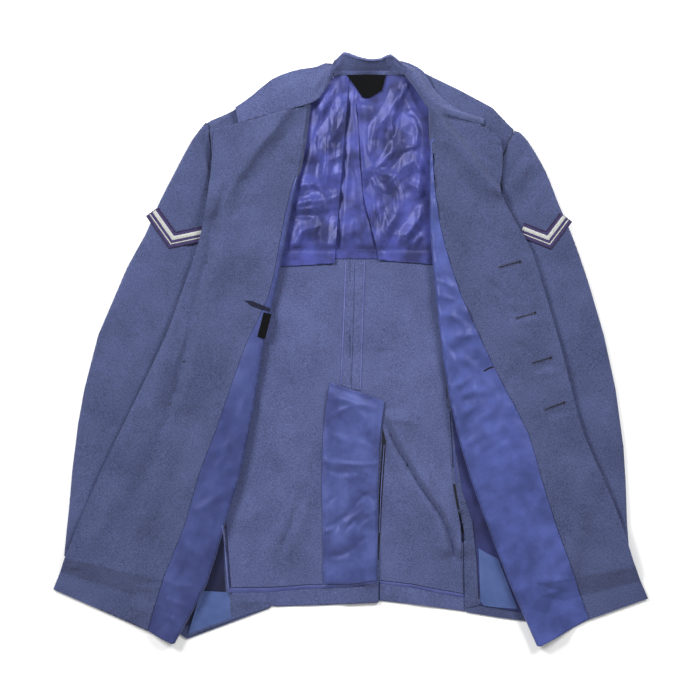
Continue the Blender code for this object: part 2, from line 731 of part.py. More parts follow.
def make_trims():
    patch_level = SLEEVE_HEIGHT + SEAM_GAP
    for name, line in (("right", RIGHT_PATCH), ("left", LEFT_PATCH)):
        outline = chevron_outline(line, PATCH_HALF_WIDTH)
        flat_piece("chevron_patch_" + name, outline, patch_level, PATCH, PATCH_FINISH)
    flat_piece("pocket_welt", POCKET_WELT, TRIM_LEVEL, SATIN, SATIN_FINISH)
    flat_piece("pocket_label", POCKET_LABEL, TRIM_LEVEL, LABEL, LABEL_FINISH)
    label_level = LINING_LEVEL + SATIN * 2 + LAYER_GAP + SEAM_GAP
    flat_piece("neck_label", NECK_LABEL, label_level, LABEL, LABEL_FINISH)


def make_buttons():
    """Front buttons, which the opened right front hides."""
    for number, (x, y) in enumerate(BUTTON_PLACES, 1):
        name = "button_%d" % number
        disc = bmesh.new()
        bmesh.ops.create_cone(
            disc, cap_ends=True, segments=20,
            radius1=BUTTON_DIAMETER / 2 * MILLIMETRE, radius2=BUTTON_DIAMETER / 2.3 * MILLIMETRE,
            depth=BUTTON_THICKNESS * MILLIMETRE,
        )
        mesh = bpy.data.meshes.new(name)
        disc.to_mesh(mesh)
        disc.free()
        button = add_object(name, mesh, BUTTON_FINISH)
        level = SLEEVE_HEIGHT + LAYER_GAP + BUTTON_THICKNESS / 2
        button.location = Vector((x, y, level)) * MILLIMETRE


def main():
    for item in list(bpy.data.objects):
        bpy.data.objects.remove(item, do_unlink=True)
    parts = bpy.data.collections.new("service_dress_jacket")
    bpy.context.scene.collection.children.link(parts)
    for side in (RIGHT, LEFT):
        make_back(side)
        make_side_panel(side)
        make_back_lining(side)
        make_sleeve(side)
        make_front(side)
        make_facing(side)
        make_front_lining(side)
    make_pleat()
    make_vent_facing()
    make_collar()
    make_trims()
    make_buttons()


main()
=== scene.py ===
import math
import random

import bmesh
import bpy
import numpy as np
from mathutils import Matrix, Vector, noise
from mathutils.bvhtree import BVHTree


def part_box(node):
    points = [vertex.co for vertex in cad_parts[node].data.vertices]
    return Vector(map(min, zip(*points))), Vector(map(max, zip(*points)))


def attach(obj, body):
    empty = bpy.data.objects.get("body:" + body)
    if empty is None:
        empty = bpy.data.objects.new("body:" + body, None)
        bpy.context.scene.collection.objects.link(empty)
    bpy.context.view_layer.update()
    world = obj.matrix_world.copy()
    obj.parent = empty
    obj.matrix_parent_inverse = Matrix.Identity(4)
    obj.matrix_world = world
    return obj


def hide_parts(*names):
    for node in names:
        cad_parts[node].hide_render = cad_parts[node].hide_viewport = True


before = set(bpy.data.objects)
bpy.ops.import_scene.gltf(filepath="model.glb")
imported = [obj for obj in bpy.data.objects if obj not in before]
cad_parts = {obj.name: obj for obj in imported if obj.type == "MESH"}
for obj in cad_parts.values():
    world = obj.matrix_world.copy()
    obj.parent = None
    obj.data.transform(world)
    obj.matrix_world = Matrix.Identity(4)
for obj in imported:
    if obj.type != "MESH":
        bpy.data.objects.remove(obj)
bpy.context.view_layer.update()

# Uniform jacket laid open on a pale floor, seen from straight above.
# Sizes are in millimetres unless a name says otherwise.
# +X is the wearer's left, +Y runs up to the collar, +Z is up.

mm = 0.001
bpy.ops.object.select_all(action="DESELECT")
scene = bpy.context.scene
scene.view_settings.view_transform = "Standard"


# Helpers for materials

# sRGB hex to linear
def hexColour(code):
    values = [int(code[i:i + 2], 16) / 255 for i in (1, 3, 5)]
    return tuple(v / 12.92 if v <= 0.04045 else ((v + 0.055) / 1.055) ** 2.4 for v in values) + (1,)


def addNode(tree, kind, inputs=None, **settings):
    made = tree.nodes.new("ShaderNode" + kind)
    for name, value in settings.items():
        setattr(made, name, value)
    for name, value in (inputs or {}).items():
        if isinstance(value, bpy.types.NodeSocket):
            tree.links.new(value, made.inputs[name])
        else:
            made.inputs[name].default_value = value
    return made


def newMaterial(name, shaderInputs):
    material = bpy.data.materials.new(name)
    material.use_nodes = True
    tree = material.node_tree
    shader = tree.nodes["Principled BSDF"]
    for socket, value in shaderInputs.items():
        shader.inputs[socket].default_value = value
    return material, tree, shader


# From the first colour to the second while the factor rises from low to high
def blendColours(tree, factor, first, second, low, high, most=1.0):
    share = addNode(tree, "MapRange", {
        "Value": factor, "From Min": low, "From Max": high, "To Max": most}).outputs["Result"]
    return addNode(tree, "Mix", {0: share, 6: first, 7: second}, data_type="RGBA").outputs[2]


# Colour and relief of a cloth, its depth in millimetres
def setSurface(tree, shader, colour, height, strength, depth):
    tree.links.new(colour, shader.inputs["Base Color"])
    bump = addNode(tree, "Bump", {"Height": height, "Strength": strength, "Distance": depth * mm})
    tree.links.new(bump.outputs["Normal"], shader.inputs["Normal"])


# A wave texture at scale 1 repeats every 0.314 m, and 1.4 times wider where its bands slant
waveRepeat = 0.314

# Wool serge: worsted twill of fibres dyed in two blues and a violet, pressed but matt.
# The eye gets a fine speckle, faint slanting twill lines and no gloss.
serge = {
    "shader": {"Roughness": 0.93, "Specular IOR Level": 0.2, "Sheen Weight": 0.12, "Sheen Roughness": 0.55},
    "inside": ("#272e4a", "#5a6391"), "outside": ("#20273e", "#4f5881"), "blueRange": (0.34, 0.66),
    "violet": "#47456f", "violetRange": (0.5, 0.75, 0.5),      # low, high and the most of it
    # the yarns are 0.4 mm, too fine to show, so they are drawn coarser
    "speckle": {"Scale": 1 / (1.9 * mm), "Detail": 4.0, "Roughness": 0.8},
    "tint": {"Scale": 0.55 / (1.9 * mm), "Detail": 3.0, "Roughness": 0.7},
    "cloud": {"Scale": 1 / (70 * mm), "Detail": 4.0, "Roughness": 0.6}, "cloudShare": 0.25,
    # real twill lines lie 0.7 mm apart
    "twill": {"Scale": waveRepeat / (2.4 * mm), "Distortion": 1.0, "Detail": 2.0, "Detail Scale": 3.0},
    "twillShare": 0.3, "relief": (0.5, 0.6),
}


def woolSerge(name, turn, face="outside"):
    material, tree, shader = newMaterial(name, serge["shader"])
    place = addNode(tree, "Mapping", {
        "Vector": addNode(tree, "TexCoord").outputs["Object"],
        "Rotation": (0, 0, math.radians(turn))}).outputs["Vector"]
    speckle, tint, cloud = [addNode(tree, "TexNoise", {"Vector": place, **serge[part]}).outputs["Fac"]
                            for part in ("speckle", "tint", "cloud")]
    both = addNode(tree, "Mix", {0: serge["cloudShare"], 2: speckle, 3: cloud}).outputs[0]
    dark, light = serge[face]
    blue = blendColours(tree, both, hexColour(dark), hexColour(light), *serge["blueRange"])
    colour = blendColours(tree, tint, blue, hexColour(serge["violet"]), *serge["violetRange"])
    twill = addNode(tree, "TexWave", {"Vector": place, **serge["twill"]},
                    wave_type="BANDS", bands_direction="DIAGONAL").outputs["Fac"]
    height = addNode(tree, "Mix", {0: serge["twillShare"], 2: speckle, 3: twill}).outputs[0]
    setSurface(tree, shader, colour, height, *serge["relief"])
    return material


# Rayon satin: long smooth floats of dyed filament, so its gloss is broad, soft and tinted.
# Its colour goes from dark to light in broad patches: painted light and painted shade of its flats.
satinLook = {
    "shader": {"Specular IOR Level": 0.8, "Specular Tint": hexColour("#adb0ea"), "Anisotropic": 0.35,
               "Sheen Weight": 0.1},
    "patch": {"Scale": 1 / (38 * mm), "Detail": 3.0, "Roughness": 0.6}, "paintedLightAndShadeRange": (0.36, 0.64),
    "crinkle": {"Scale": 1 / (7 * mm), "Detail": 3.0, "Roughness": 0.5, "Distortion": 0.5},
    # real floats are 0.1 mm wide, too fine to show, so they are drawn coarser
    "thread": {"Scale": waveRepeat / (1.3 * mm), "Distortion": 0.6, "Detail": 1.0}, "threadShare": 0.06,
    "reliefStrength": 0.5,
}


def rayonSatin(name, dark, light, roughness, crinkleDepth):
    material, tree, shader = newMaterial(name, {"Roughness": roughness, **satinLook["shader"]})
    place = addNode(tree, "TexCoord").outputs["Object"]
    patch, crinkle = [addNode(tree, "TexNoise", {"Vector": place, **satinLook[part]}).outputs["Fac"]
                      for part in ("patch", "crinkle")]
    # painted light and painted shade: the satin colour goes dark to light in broad noise patches
    colour = blendColours(tree, patch, hexColour(dark), hexColour(light), *satinLook["paintedLightAndShadeRange"])
    thread = addNode(tree, "TexWave", {"Vector": place, **satinLook["thread"]},
                     wave_type="BANDS", bands_direction="X").outputs["Fac"]
    height = addNode(tree, "Mix", {0: satinLook["threadShare"], 2: crinkle, 3: thread}).outputs[0]
    setSurface(tree, shader, colour, height, satinLook["reliefStrength"], crinkleDepth)
    return material


# Thread, tape and patch cloth: small slanting ribs, mottled and dull
wovenLook = {
    "fibre": {"Detail": 3.0, "Roughness": 0.6}, "fibreRange": (0.35, 0.65),
    "ribs": {"Distortion": 0.8, "Detail": 1.0}, "reliefStrength": 0.6,
}


def plainWoven(name, dark, light, grain, shaderInputs, depth=0.3):
    material, tree, shader = newMaterial(name, shaderInputs)
    place = addNode(tree, "TexCoord").outputs["Object"]
    fibre = addNode(tree, "TexNoise", {
        "Vector": place, "Scale": 1 / (grain * mm), **wovenLook["fibre"]}).outputs["Fac"]
    colour = blendColours(tree, fibre, hexColour(dark), hexColour(light), *wovenLook["fibreRange"])
    ribs = addNode(tree, "TexWave", {
        "Vector": place, "Scale": waveRepeat / (grain * mm), **wovenLook["ribs"]},
        wave_type="BANDS", bands_direction="DIAGONAL").outputs["Fac"]
    setSurface(tree, shader, colour, ribs, wovenLook["reliefStrength"], depth)
    return material


woolMiddle = woolSerge("wool_serge_back", 0, "inside")
woolRight = woolSerge("wool_serge_right_front", 16)
woolLeft = woolSerge("wool_serge_left_front", -16)
woolSleeveRight = woolSerge("wool_serge_right_sleeve", 30)
woolSleeveLeft = woolSerge("wool_serge_left_sleeve", -30)
satinBack = rayonSatin("rayon_satin_back_lining", "#1f234b", "#3d4387", 0.46, 0.25)
# The fronts' satin is one cloth in two tones: darker on the right as painted shade, lighter on the left as
# painted light
satinFrontRight = rayonSatin("rayon_satin_right_front_painted_shade", "#2b335f", "#384272", 0.5, 0.3)
satinFrontLeft = rayonSatin("rayon_satin_left_front_painted_light", "#323c6e", "#424e8b", 0.5, 0.3)
satinVent = rayonSatin("rayon_satin_vent", "#2f3765", "#434e84", 0.52, 0.25)
# Side linings: the same satin drawn much darker, painted shade of the deep folds they lie in
satinRightSidePaintedShade = rayonSatin("rayon_satin_right_side_painted_shade", "#0b0d1c", "#171a35", 0.5, 0.4)
satinLeftSidePaintedShade = rayonSatin("rayon_satin_left_side_painted_shade", "#1d2044", "#2a2f5e", 0.5, 0.4)
satinSide = rayonSatin("rayon_satin_side_hem", "#3a4b78", "#465888", 0.5, 0.3)
bindingLight = rayonSatin("satin_binding_on_seam_edges", "#4c5384", "#60689a", 0.5, 0.2)
bindingSoft = rayonSatin("satin_binding_on_the_hem", "#333a68", "#3f4676", 0.5, 0.2)
# Near-black satin strips along seam and hem edges, drawn as binding turned under: their colour is painted
# shade of the gaps there
paintedSeamShade = rayonSatin("satin_strips_painted_seam_shade", "#12162c", "#1b2042", 0.5, 0.2)
# Spun polyester thread: dull, with a little fuzz
spunThread = {"Roughness": 0.7, "Sheen Weight": 0.2}
threadNavy = plainWoven("spun_thread_navy", "#1c2140", "#30365c", 0.6, spunThread)
threadBlue = plainWoven("spun_thread_blue", "#3a4178", "#565d99", 0.6, spunThread)
# Welt and slits: the welt's satin drawn near black as painted shade of its own fold, and the canvas inside
# slits, gaps and holes drawn almost black as painted shade
satinWeltPaintedShade = plainWoven("satin_pocket_welt_painted_shade", "#0a0c1c", "#141831", 1.3, {
    "Roughness": 0.5, "Specular IOR Level": 0.2})
slitShade = plainWoven("painted_shade_in_slits_and_gaps", "#06070d", "#0c0e1a", 0.8, {"Roughness": 0.95})
# Patches: ribbed cotton twill, matt, with embroidery of rayon, a little glossy; labels: dense black tape
patchCloth = plainWoven("cotton_twill_patch", "#20183c", "#37295e", 1.6, {
    "Roughness": 0.9, "Sheen Weight": 0.15})
patchCord = plainWoven("corded_patch_edge", "#150f28", "#231a40", 1.0, {"Roughness": 0.85})
patchBars = plainWoven("rayon_embroidery_pale", "#8d908c", "#b0b2ae", 1.2, {"Roughness": 0.55})
tapeBlack = plainWoven("woven_tape_black", "#030304", "#08090c", 1.0, {
    "Roughness": 0.85, "Specular IOR Level": 0.12})
# Buttons: cast metal with a brushed satin finish, so its gloss is broad and grey
buttonMetal = plainWoven("satin_finished_metal", "#6f7073", "#8b8c90", 0.8, {
    "Metallic": 1.0, "Roughness": 0.38}, 0.05)
print("materials made")


# Folds. A crease is x and y of its start, x and y of its end, height, width and bow, which is none if left
# out. It is a ridge, or a trough where its height is below zero.

creaseShape = {"taper": 0.3, "endHeight": 0.3, "crestRound": 0.006, "footSlope": 4}
facetShape = {
    "bendSize": 1.8, "unevenSize": 2.5, "uneven": (0.6, 0.8), "unevenLimits": (0.1, 1.6),
    "crestRound": 0.005,
}
fallEnds = (14, 22)        # reach past the line's end and length of the fade
fractal = (0.9, 2.0, 2)    # roughness, step in size and octaves of the noise


def smoothStep(value):
    value = np.clip(value, 0, 1)
    return value * value * (3 - 2 * value)


def rampUp(value, start, width):
    return smoothStep((value - start) / width)


def rampDown(value, end, width):
    return smoothStep((end - value) / width)


def creaseField(creases, x, y, sharp=False):
    total = np.zeros_like(x)
    endHeight, crestRound = creaseShape["endHeight"], creaseShape["crestRound"]
    for item in creases:
        x1, y1, x2, y2, height, width, bow = (*item, 0.0)[:7]
        runX, runY = x2 - x1, y2 - y1
        length = math.hypot(runX, runY)
        share = ((x - x1) * runX + (y - y1) * runY) / length ** 2
        inside = np.clip(share, 0, 1)
        across = ((y - y1) * runX - (x - x1) * runY) / length - bow * 4 * inside * (1 - inside)
        distance = np.clip(np.hypot(across, (share - inside) * length) / width, 0, 1)
        fromEnd = np.clip(np.minimum(inside, 1 - inside) / creaseShape["taper"], 0, 1)
        if sharp:
            crest = np.sqrt((1 - distance) ** 2 + crestRound) - math.sqrt(crestRound)
            profile = crest * smoothStep((1 - distance) * creaseShape["footSlope"])
        else:
            profile = 0.5 + 0.5 * np.cos(math.pi * distance)
        total += height * profile * (fromEnd * (1 - endHeight) + endHeight)
    return total


def noiseField(x, y, size, seed):
    return np.array([noise.fractal(Vector((a / size, b / size, seed)), *fractal) for a, b in zip(x, y)])


# Slow waves of a whole piece, from its height, size and seed
def slowWaves(x, y, height, size, seed):
    return height * noiseField(x, y, size, seed)


# Folds that meet at sharp lines, from direction, spacing, height and bend, and spaced unevenly.
# The last value of each noise is its seed, another one for each wave.
def facetField(waves, x, y):
    total = np.zeros_like(x)
    base, swing = facetShape["uneven"]
    for number, (direction, spacing, height, bend) in enumerate(waves):
        turn = math.radians(direction + 90)
        across = x * math.cos(turn) + y * math.sin(turn)
        across = across + noiseField(x, y, spacing * facetShape["bendSize"], 3.7 * number + spacing) * bend
        saw = np.abs(across / spacing % 1 * 2 - 1)
        uneven = base + swing * noiseField(x, y, spacing * facetShape["unevenSize"], 9.1 * number + 2)
        crest = 1 - np.sqrt(saw ** 2 + facetShape["crestRound"])
        total += height * crest * np.clip(uneven, *facetShape["unevenLimits"])
    return total


# X of a line that runs down through the points
def lineX(points, y):
    rows = sorted((py, px) for px, py in points)
    return np.interp(y, [row[0] for row in rows], [row[1] for row in rows])


# Depth beside a line: it sinks over the first width and comes back over the second
def fallField(falls, x, y):
    total = np.zeros_like(x)
    reach, fade = fallEnds
    for line, depth, before, after in falls:
        beside = x - lineX(line, y)
        sunk = np.where(beside < 0, smoothStep(beside / before + 1), 1 - smoothStep(beside / after))
        high, low = max(point[1] for point in line), min(point[1] for point in line)
        total -= depth * sunk * rampDown(y, high + reach, fade) * rampUp(y, low - reach, fade)
    return total


def shifted(line, distance):
    return tuple((x + distance, y) for x, y in line)


# Back of the coat, inside up, with the long ridge beside its vent
backRidge = ((56, -96), (66, -122), (81, -150), (109, -196), (137, -236), (149, -262), (156, -290))
backPlan = {
    "foldHeight": 1.25, "slowWaves": (0.7, 50, 4.4),
    # line, depth (raised below zero), width before it, width after it
    "falls": [(backRidge, -9.0, 7, 40), (shifted(backRidge, -14), -7.0, 36, 7)],
    "ventMiddle": 2, "besideVent": (46, 10), "belowLining": (104, 14), "upperWall": 1.2, "deepest": 0.7,
    "folds": [
        (86, -112, 126, -186, -1.4, 14, 4), (126, -186, 150, -300, -1.4, 14, 4),
        (118, -150, 146, -250, 2.0, 13, 5), (60, -200, 80, -320, 1.6, 18, 4),
        (-104, -120, -60, -210, 3.2, 18, -7), (-54, -110, -40, -190, 2.0, 14, -3),
        (-96, -170, -112, -290, 2.6, 18, 6), (-64, -196, -106, -300, 4.0, 34, 3),
        (-66, -200, -104, -298, -3.8, 11, 3), (-128, -60, -112, -160, 2.0, 14, 4),
        (-140, -210, -150, -320, 1.8, 14, 3), (54, -98, 92, -106, 2.2, 8, 3), (96, -94, 102, -96, 1.6, 4),
        (62, 96, 44, -24, 2.0, 20), (92, 60, 84, -60, 1.6, 18, 4), (-104, 80, -72, -50, 2.4, 22, 5),
        (-58, 70, -52, -60, 1.8, 14, 3), (124, 40, 128, -90, 1.6, 14, 3), (-34, 60, -40, -30, 1.2, 10, 2),
    ],
}


def backLift(x, y, z):
    besideVent = rampUp(np.abs(x - backPlan["ventMiddle"]), *backPlan["besideVent"])
    clear = np.where(y > 0, 1, besideVent) * rampDown(y, *backPlan["belowLining"])
    rise = creaseField(backPlan["folds"], x, y) * backPlan["foldHeight"]
    rise += slowWaves(x, y, *backPlan["slowWaves"]) + fallField(backPlan["falls"], x, y)
    deepest = backPlan["deepest"]
    upper, under = np.maximum(rise, -deepest), np.maximum(rise - deepest, 0)
    return np.where(z > backPlan["upperWall"], upper, under) * clear


# Lining of the shoulders: a loose half lining, crumpled where the fronts push it together
liningPlan = {
    "right": ((-46, 400), (-60, 300), (-74, 250), (-85, 193), (-95, 110)),
    "left": ((90, 400), (104, 317), (108, 246), (108, 200), (112, 110)),
    "top": 392, "hem": 142, "sideFade": 11, "topFade": 12, "hemFade": 9,
    # middle of the neck label and half its width and height
    "label": (24, 378, 34, 22), "labelFade": (0.9, 0.5),
    "hemPucker": (0.5, 0.7), "puckerStretch": (2.2, 0.6), "puckerSize": 16, "hemFold": 2,
    "hemEnds": ((-110, 20), (124, 10)),
    "foldHeight": 1.1,
    "waves": {
        "right": [(58, 42, 4.8, 14), (14, 46, 3.4, 16), (100, 24, 1.0, 10)],
        "left": [(64, 40, 4.6, 14), (-60, 44, 3.6, 16), (112, 26, 1.1, 10)],
    },
    "folds": [
        (-19, 380, -48, 326, 4.0, 9, -2), (-48, 326, -68, 284, 4.5, 10, -2),
        (-4, 352, -30, 296, 5.0, 11, 4), (-31, 298, -43, 240, 6.0, 13, 3), (3, 288, -36, 268, 3.5, 9, 2),
        (6, 260, -14, 252, 3.0, 7, 1), (8, 236, -30, 216, 4.5, 10, 3), (-80, 236, -50, 238, 3.5, 7, -1),
        (-50, 238, -38, 224, 3.0, 6), (-80, 208, -40, 216, 3.5, 7, 1), (-84, 194, -48, 193, -4.0, 8),
        (-34, 194, 6, 203, -4.0, 9, -2), (6, 203, -20, 146, 5.5, 15, 2), (-52, 180, -44, 150, 2.5, 7),
        (-70, 176, -76, 146, 2.5, 7), (-12, 366, -20, 330, 3.0, 7), (82, 390, 64, 350, 5.0, 8, 2),
        (64, 350, 56, 300, 3.0, 8), (101, 318, 79, 234, 7.0, 14, -3), (111, 302, 96, 296, 2.5, 5),
        (78, 286, 95, 292, 2.2, 5), (31, 255, 58, 288, 4.0, 9, -3), (31, 255, 60, 248, 4.0, 8, 2),
        (60, 248, 70, 200, 4.5, 9, 4), (31, 255, 46, 226, 3.5, 8, -2), (85, 240, 110, 218, 4.0, 9),
        (107, 202, 66, 152, 6.0, 13, 3), (70, 198, 45, 150, 5.0, 11, -3), (43, 216, 42, 150, 3.2, 6),
        (34, 212, 33, 168, 2.6, 5), (37, 330, 30, 276, 4.0, 8), (83, 341, 96, 338, -4.5, 7),
        (96, 338, 112, 322, -5.0, 8), (56, 332, 58, 276, 3.0, 8, 3), (96, 262, 112, 248, 2.6, 6),
        (104, 168, 88, 148, 3.5, 8),
    ],
}


def liningLift(side):
    plan = liningPlan

    def lift(x, y, z):
        inside = rampUp(x, lineX(plan["right"], y), plan["sideFade"])
        inside = inside * rampDown(x, lineX(plan["left"], y), plan["sideFade"])
        inside = inside * rampDown(y, plan["top"], plan["topFade"]) * rampUp(y, plan["hem"], plan["hemFade"])
        middleX, middleY, wide, high = plan["label"]
        label = rampUp(np.hypot((x - middleX) / wide, (y - middleY) / high), *plan["labelFade"])
        rise = creaseField(plan["folds"], x, y, sharp=True) * plan["foldHeight"]
        rise = rise + facetField(plan["waves"][side], x, y)
        alongX, alongY = plan["puckerStretch"]
        pucker = 0.5 + 0.5 * noiseField(x * alongX, y * alongY, plan["puckerSize"], 6.2)
        least, swing = plan["hemPucker"]
        hem = rampDown(y, plan["hem"], plan["hemFold"]) * (least + swing * pucker)
        start, end = plan["hemEnds"]
        return np.maximum(rise, 0) * inside * label + hem * rampUp(x, *start) * rampDown(x, *end)
    return lift


# Opened fronts, with their facings and linings
rollLines = {
    "right": ((-88, 345), (-112, 312), (-139, 277), (-159, 247), (-179, 220), (-187, 196)),
    "left": ((105, 356), (119, 345), (131, 327), (139, 315), (158, 293), (174, 272), (188, 253), (202, 236),
             (214, 223)),
}
rightValley = ((-176, 232), (-180, 216), (-192, 182), (-201, 133), (-214, 86), (-224, 32), (-237, -16),
               (-247, -60), (-258, -84))
frontPlan = {
    "foldHeight": 1.5, "slowWaves": (0.9, 70, 8.3), "deepest": -3.6, "upperWall": (7.5, 2.5),
    "falls": {
        "right": [(rollLines["right"], -6.0, 44, 13), (shifted(rollLines["right"], 26), 3.8, 22, 40),
                  (rightValley, 5.6, 11, 5), (shifted(rightValley, -26), -2.0, 26, 15),
                  (shifted(rightValley, 12), -3.6, 7, 60)],
        "left": [(rollLines["left"], -6.0, 46, 12), (shifted(rollLines["left"], 12), 3.4, 10, 50)],
    },
    "right": [
        (-92, 276, -86, 240, -2.4, 12, 2), (-140, 180, -150, 60, 1.2, 22, 4),
        (-280, -90, -340, -230, 2.0, 20, 6), (-250, -120, -300, -300, 1.8, 20, -6),
        (-224, -90, -262, -230, -1.2, 16, 4), (-150, 40, -190, -60, -1.2, 16, 3),
        (-330, -180, -372, -290, 1.6, 18, 3), (-250, 60, -276, -40, 1.2, 14, 3),
        (-256, -84, -272, -120, -2.0, 9, 2), (-166, 150, -176, 60, -0.8, 18, 3),
        (-300, -180, -330, -300, -1.2, 18, 3), (-380, -290, -410, -330, 1.2, 12, 2),
        (-104, 318, -116, 296, 1.6, 10, 2), (-156, 210, -168, 190, -1.2, 12, 2),
    ],
    "left": [
        (130, 300, 150, 262, -1.2, 15), (150, 250, 160, 110, 1.4, 22, 4), (226, 150, 262, 40, -1.2, 16, 3),
        (190, 102, 226, 70, -1.8, 9, 3), (250, 50, 272, 58, -1.4, 6, 3), (236, 34, 274, 42, 1.4, 7, 3),
        (262, -32, 296, -22, -1.6, 7, 4), (258, -40, 296, -34, 1.4, 8, 4),
        (280, -98, 314, -86, -1.6, 7, 4), (240, -20, 214, -60, -1.4, 12, 3),
        (220, -80, 300, -280, 1.6, 20, 8), (270, -60, 330, -200, 1.4, 18, -5),
        (196, 140, 204, 96, 1.0, 10, 2), (330, -230, 306, -330, 2.2, 18, 4), (216, 66, 246, 60, 1.0, 8, 2),
        (232, 8, 258, -6, -1.2, 9, 2), (304, -120, 356, -240, -1.2, 18, 5),
        (376, -220, 404, -300, 1.4, 14, 3),
    ],
}
frontSatinPlan = {
    "foldHeight": 1.3,
    # how much calmer the satin lies, and the height below which it does and the fade, if not all over
    "calm": {"right": (0.2, None), "left": (0.7, (-110, 70))},
    "waves": {
        "right": [(60, 44, 1.6, 28), (10, 38, 1.0, 20)],
        "left": [(72, 36, 2.8, 26), (12, 38, 2.0, 24), (-50, 22, 0.7, 14)],
    },
    "right": [
        (-168, -120, -190, -170, 1.6, 8, 2), (-178, -200, -224, -230, 1.8, 9, 3),
        (-190, -260, -228, -214, 1.4, 8, 2), (-200, -320, -240, -268, 1.6, 9, -3),
        (-214, -340, -262, -330, 1.6, 9, 3), (-226, -372, -268, -352, 1.5, 8),
        (-146, -60, -160, -100, 1.2, 7), (-196, -230, -206, -300, 1.0, 8, 2),
        (-230, -280, -256, -330, 1.2, 8, 3), (-238, -392, -270, -376, 1.4, 8),
    ],
    "left": [
        (116, 286, 118, 204, 1.2, 4), (118, 218, 126, 212, -1.5, 4), (128, 100, 150, 84, 3.0, 7, 2),
        (126, 78, 150, 70, 2.0, 6), (130, 52, 162, 36, 2.6, 9, 3), (168, 60, 176, 40, 2.4, 6),
        (150, 20, 190, 26, 2.0, 8, -2), (134, 6, 150, -40, 2.6, 8, 4), (150, -10, 182, -30, 2.2, 9, 3),
        (178, 0, 176, -70, -1.8, 4, 5), (146, -54, 172, -36, 2.4, 8, -2), (150, -70, 196, -58, 2.0, 8, 3),
        (160, -96, 182, -76, 2.6, 9, 2), (176, -108, 212, -84, 1.6, 8, 2),
        (164, -140, 204, -118, 1.8, 9, 3), (186, -160, 232, -130, 1.2, 8, 2),
        (206, -214, 252, -184, 1.2, 7, 2), (236, -240, 262, -226, 1.4, 5),
        (228, -280, 270, -256, 1.0, 7, 2), (258, -300, 292, -288, 1.6, 6, 1),
        (256, -340, 300, -330, 1.4, 12, 3), (290, -350, 320, -330, 1.4, 9, 3),
        (190, -190, 216, -232, 1.0, 9, 3), (236, -330, 268, -390, 1.0, 12, 3),
    ],
}


def frontLift(side):
    plan = frontPlan

    def lift(x, y, z):
        rise = creaseField(plan[side], x, y) * plan["foldHeight"] + fallField(plan["falls"][side], x, y)
        rise += slowWaves(x, y, *plan["slowWaves"])
        return np.maximum(rise, plan["deepest"]) * rampUp(z, *plan["upperWall"])
    return lift


def frontSatinLift(side):
    outer = frontLift(side)
    plan = frontSatinPlan

    def lift(x, y, z):
        rise = creaseField(plan[side], x, y, sharp=True) * plan["foldHeight"]
        rise += facetField(plan["waves"][side], x, y)
        share, below = plan["calm"][side]
        calm = 1 - share * (rampDown(y, *below) if below else 1)
        return outer(x, y, z) + np.maximum(rise * calm, 0) * rampUp(z, *frontPlan["upperWall"])
    return lift


# Sleeves, flattened under the fronts
sleevePlan = {
    "foldHeight": 2.0, "slowWaves": (0.8, 60, 5.1), "deepest": -2.6, "upperWall": (3.6, 3),
    "right": [
        (-219, 306, -206, 250, 2.2, 8, 3), (-209, 300, -202, 262, -2.4, 8, 2),
        (-221, 262, -207, 222, 2.0, 9, 3), (-212, 250, -204, 214, -1.6, 7, 2),
        (-246, 236, -226, 176, 1.2, 14, 3), (-330, 60, -290, -20, 1.2, 18, 5),
        (-380, -60, -330, -150, 1.0, 20, 5), (-300, 60, -350, -60, -1.0, 16, 5),
        (-396, -180, -350, -250, 0.9, 18, -5), (-268, 128, -236, 70, 1.0, 15, 3),
        (-216, 190, -236, 130, -1.2, 10, 2), (-280, 0, -300, -110, -0.8, 14, 3),
    ],
    "left": [
        (262, 276, 238, 232, 2.2, 9, -3), (248, 280, 224, 240, -2.0, 9, -3),
        (276, 258, 246, 206, -2.4, 10, -4), (286, 246, 262, 196, 1.4, 11, -3),
        (300, 120, 330, 20, 1.0, 18, 5), (340, 56, 336, -4, -1.2, 9, 3), (350, -10, 370, -140, 1.0, 18, 5),
        (330, 60, 356, -60, -0.9, 14, 5), (384, -160, 368, -260, 1.0, 15, -4),
        (358, -120, 378, -230, -0.9, 12, 3), (268, 140, 290, 90, -1.2, 10, 2),
        (392, -200, 388, -290, 0.9, 10),
    ],
}


def sleeveLift(side):
    plan = sleevePlan

    def lift(x, y, z):
        rise = creaseField(plan[side], x, y) * plan["foldHeight"] + slowWaves(x, y, *plan["slowWaves"])
        return np.maximum(rise, plan["deepest"]) * rampUp(z, *plan["upperWall"])
    return lift


# Facing of the back vent
ventPlan = {
    "base": 2.2, "foldHeight": 1.6, "waves": [(24, 44, 1.2, 14), (-50, 36, 0.9, 12)],
    "foot": (-340, 9), "right": (-38.5, 5), "left": (40.5, 5),
    "top": (-50, -30, 0.35, 12),     # its height, at this x, its slope and the fade
    "folds": [
        (-26, -70, 30, -84, 1.4, 8, 3), (-30, -98, 12, -80, 1.3, 7, 3), (2, -76, 24, -112, 1.5, 8, 3),
        (-30, -122, 0, -134, 1.0, 7, 2), (-36, -158, 36, -163, 1.8, 5, -3),
        (-34, -170, 4, -174, -1.9, 8, -3), (4, -174, 30, -186, -1.0, 5, 2),
        (16, -206, 34, -214, -1.2, 5, 2), (-34, -224, -18, -208, -1.0, 4, 2),
        (-33, -254, 4, -226, -1.6, 6, -3), (4, -226, 26, -206, -1.4, 5, 2),
        (-24, -262, -12, -246, -1.6, 4, 1), (-12, -250, 24, -222, 1.4, 5, -2),
        (-8, -262, 6, -244, -1.4, 4, 1), (10, -254, 34, -236, -1.3, 6, 3), (34, -238, 28, -214, 1.2, 4),
        (-36, -262, -26, -256, 1.2, 4), (-32, -296, 8, -282, -1.5, 7, -3), (8, -282, 26, -268, -1.0, 5, 2),
        (10, -130, 34, -148, 1.2, 7, 2),
    ],
}


